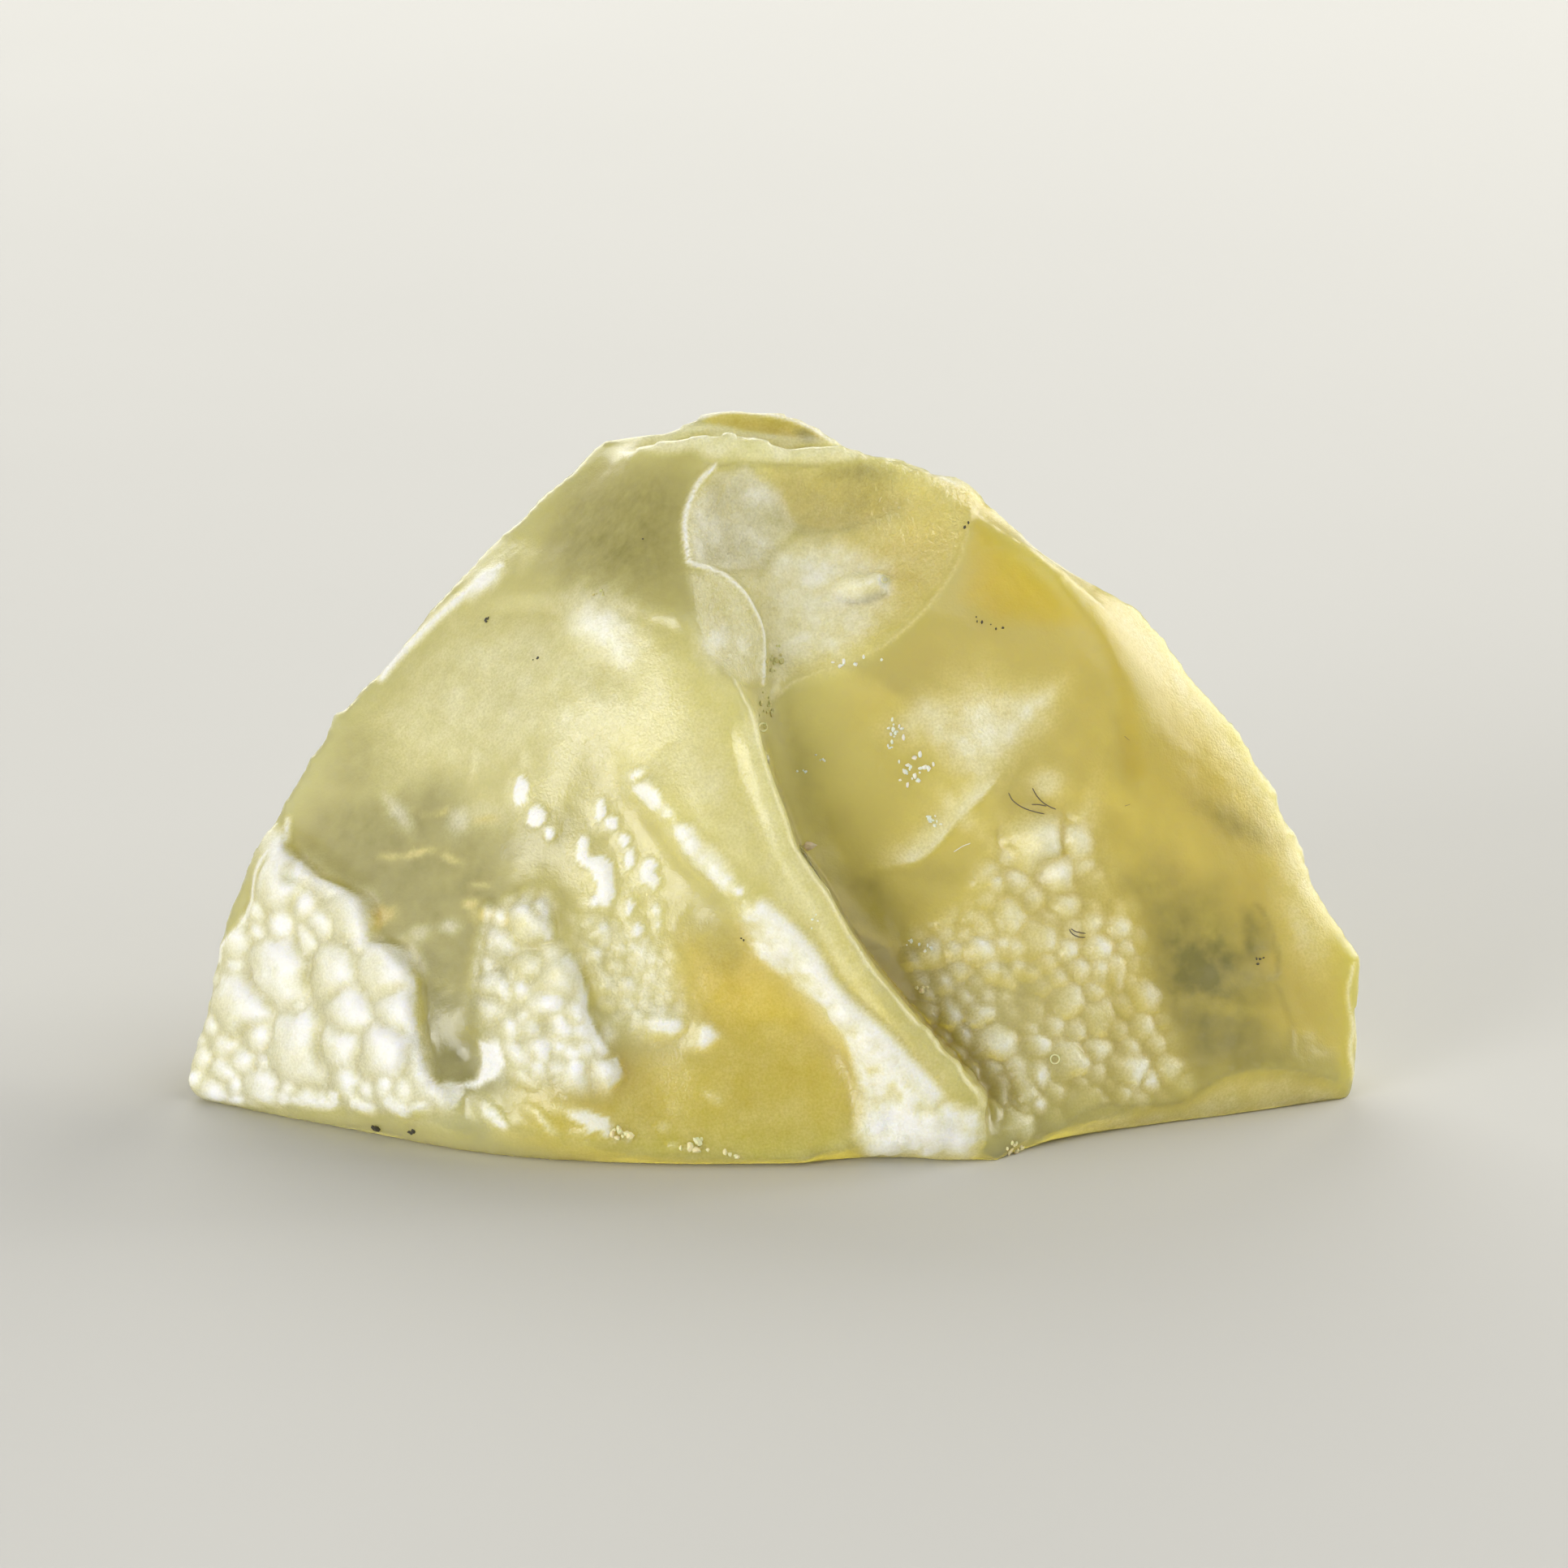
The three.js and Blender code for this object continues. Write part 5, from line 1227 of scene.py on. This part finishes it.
def surfaceAt(tree, across, up):
    # the place on the stone that the camera sees at a spot of the picture plane
    forward, upward = (Vector(axis) for axis in viewAxes())
    eye = Vector(shot["lookAt"]) - forward * shot["distance"]
    target = Vector(shot["lookAt"]) + (Vector((1, 0, 0)) * across + upward * up) * 0.001
    place, facing, _, _ = tree.ray_cast(eye, (target - eye).normalized())
    return place, facing


def addTube(bm, places, facings, thick, material, closed=False, sides=6):
    # a thin round thread through the places, its ends drawn to points
    rings, count = [], len(places)
    for i, (place, facing) in enumerate(zip(places, facings)):
        before = places[i - 1] if i or closed else place
        after = places[(i + 1) % count] if i < count - 1 or closed else place
        run = (after - before).normalized()
        sideways = run.cross(facing).normalized()
        over = sideways.cross(run)
        slim = 1.0 if closed or 0 < i < count - 1 else 0.4
        rings.append([bm.verts.new(place + (sideways * math.cos(a) + over * math.sin(a)) * thick * slim)
                      for a in (math.tau * k / sides for k in range(sides))])
    pairs = list(zip(rings, rings[1:])) + ([(rings[-1], rings[0])] if closed else [])
    for here, there in pairs:
        for k in range(sides):
            after = (k + 1) % sides
            bm.faces.new((here[k], here[after], there[after], there[k])).material_index = material
    if not closed:
        for ring, flip in ((rings[0], True), (rings[-1], False)):
            bm.faces.new(ring[::-1] if flip else ring).material_index = material


def addCrumb(bm, place, facing, size, dice, material):
    # a small irregular grain pressed a little into the surface
    made = bmesh.ops.create_icosphere(bm, subdivisions=1, radius=1.0)["verts"]
    turn = facing.to_track_quat("Z", "Y").to_matrix()
    wide, deep = dice.uniform(0.7, 1.3), dice.uniform(0.45, 0.8)
    for vert in made:
        rough = Vector(vert.co) * dice.uniform(0.72, 1.2)
        vert.co = place + turn @ Vector((rough.x * wide, rough.y / wide, rough.z * deep + deep * 0.35)) * size
    for face in {face for vert in made for face in vert.link_faces}:
        face.material_index = material


def dirtMaterial(name, shade):
    s = Shader(name)
    place = s.node("ShaderNodeTexCoord")[3]
    mottle = s.cloudy(place, 6000.0, 2.0)
    darker = tuple(c * 0.7 for c in shade[:3]) + (1,)
    surface = s.node("ShaderNodeBsdfPrincipled", None, {
        "Base Color": s.mixColour(mottle, darker, shade), "Roughness": 0.4 + mottle * 0.3,
        "Subsurface Weight": 0.0 if max(shade[:3]) < 0.2 else 0.3, "Subsurface Scale": 0.0002})[0]
    s.node("ShaderNodeOutputMaterial", None, {"Surface": surface})
    return s.material


def layDirt():
    dice = random.Random(dirt["seed"])
    points = readPoints(stone.data)
    tree = BVHTree.FromPolygons(points.tolist(), [tuple(p.vertices) for p in stone.data.polygons])
    kinds = list(dirt["shades"])
    bm = bmesh.new()
    threads = [(line, dirt["lintThick"], "lint") for line in dirt["lint"]]
    threads.append((dirt["scratch"], dirt["scratchThick"], "whiteCrumb"))
    for line, thick, kind in threads:
        path = sight.softened(line) if len(line) > 2 else np.array(line)
        found = [surfaceAt(tree, *spot) for spot in path]
        found = [(place + facing * (thick + dirt["gap"]) * 0.001, facing) for place, facing in found if place]
        addTube(bm, [f[0] for f in found], [f[1] for f in found], thick * 0.001, kinds.index(kind))
    for across, up, wide in dirt["rings"]:
        turns = [math.tau * k / 14 for k in range(14)]
        found = [surfaceAt(tree, across + wide * math.cos(a), up + wide * math.sin(a)) for a in turns]
        addTube(bm, [f[0] for f in found], [f[1] for f in found], dirt["ringThick"] * 0.001,
                kinds.index("glassCrumb"), True)
    for kind in kinds[1:]:
        for across, up, wide, high, count, small, large in dirt[kind]:
            for _ in range(count):
                spot = (across + dice.gauss(0, dirt["gather"]) * wide,
                        up + dice.gauss(0, dirt["gather"]) * high)
                place, facing = surfaceAt(tree, *spot)
                size = (small + (large - small) * dice.random() ** 2) * dirt["crumbScale"]
                if place:
                    addCrumb(bm, place, facing, size, dice, kinds.index(kind))
    mesh = bpy.data.meshes.new("dirt")
    bmesh.ops.recalc_face_normals(bm, faces=bm.faces)
    bm.to_mesh(mesh)
    bm.free()
    for kind in kinds:
        mesh.materials.append(dirtMaterial(kind, dirt["shades"][kind]))
    loose = addObject("looseDirt", mesh)
    pickOnly(stone)
    loose.select_set(True)
    bpy.ops.object.join()


stone.data.materials.append(glassMaterial())
makeSmooth(stone)
layDirt()
print("dirt laid:", len(stone.data.polygons), "faces in all")
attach(stone, "root")
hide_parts("desert_glass")
print("glass finished")


# Pale round floor that curls up far away, and soft studio light

studio = {
    "floorRadius": 0.7,
    "floorSides": 96,
    "curlRadius": 0.35,
    "curlSteps": 8,
    "lampAim": (0, 0, 0.01),
    "floorShade": (0.56, 0.555, 0.53, 1),
    "worldShade": (1.0, 0.99, 0.96, 1),
    "worldStrength": 0.14,
    # name: place, size, power, colour
    "lamps": {
        "keyLeft": ((-0.49, -0.13, 0.14), 0.46, 0.66, (1.0, 0.99, 0.95)),
        "sideRight": ((0.47, 0.06, 0.22), 0.34, 1.3, (1.0, 0.99, 0.95)),
        "topFront": ((0.24, -0.32, 0.40), 0.40, 0.6, (1.0, 0.99, 0.96)),
        "backLeft": ((-0.13, 0.42, 0.24), 0.44, 1.6, (1.0, 0.99, 0.95)),
        "backRight": ((0.34, 0.30, 0.20), 0.40, 1.6, (1.0, 0.98, 0.93)),
        "frontLeft": ((-0.33, -0.45, 0.10), 0.34, 2.9, (1.0, 0.99, 0.97)),
    },
}


def makeStudio():
    bpy.ops.object.select_all(action="DESELECT")
    bpy.ops.mesh.primitive_circle_add(vertices=studio["floorSides"], radius=studio["floorRadius"],
                                      fill_type="NGON")
    floor = bpy.context.object
    floor.name = "studioFloor"
    bpy.ops.object.mode_set(mode="EDIT")
    bpy.ops.mesh.select_mode(type="EDGE")
    bpy.ops.mesh.select_all(action="SELECT")
    turns, curl, radius = studio["curlSteps"], studio["curlRadius"], studio["floorRadius"]
    for k in range(turns):
        here, there = (math.radians(90 * j / turns) for j in (k, k + 1))
        lift = curl * (math.cos(here) - math.cos(there))
        wider = radius + curl * (math.sin(there) - math.sin(here))
        bpy.ops.mesh.extrude_edges_move(TRANSFORM_OT_translate={"value": (0, 0, lift)})
        bpy.ops.transform.resize(value=(wider / radius, wider / radius, 1))
        radius = wider
    bpy.ops.object.mode_set(mode="OBJECT")
    floor.data.materials.append(floorMaterial())
    makeSmooth(floor)
    for name, (place, size, power, colour) in studio["lamps"].items():
        data = bpy.data.lights.new(name, "AREA")
        data.shape, data.size, data.energy, data.color = "DISK", size, power, colour
        lamp = addObject(name, data)
        lamp.location = place
        lamp.rotation_mode = "QUATERNION"
        lamp.rotation_quaternion = (Vector(studio["lampAim"]) - Vector(place)).to_track_quat("-Z", "Y")
    world = bpy.data.worlds.new("studioAir")
    world.use_nodes = True
    air = world.node_tree.nodes["Background"]
    air.inputs[0].default_value = studio["worldShade"]
    air.inputs[1].default_value = studio["worldStrength"]
    bpy.context.scene.world = world


def floorMaterial():
    s = Shader("paleFloor")
    place = s.node("ShaderNodeTexCoord")[3]
    mottle = s.cloudy(place, 40.0, 5.0)
    surface = s.node("ShaderNodeBsdfPrincipled", None, {
        "Base Color": studio["floorShade"], "Roughness": 0.75 + mottle * 0.1})[0]
    s.node("ShaderNodeOutputMaterial", None, {"Surface": surface})
    return s.material


makeStudio()
bpy.context.scene.view_settings.view_transform = "Standard"
print("studio lit")
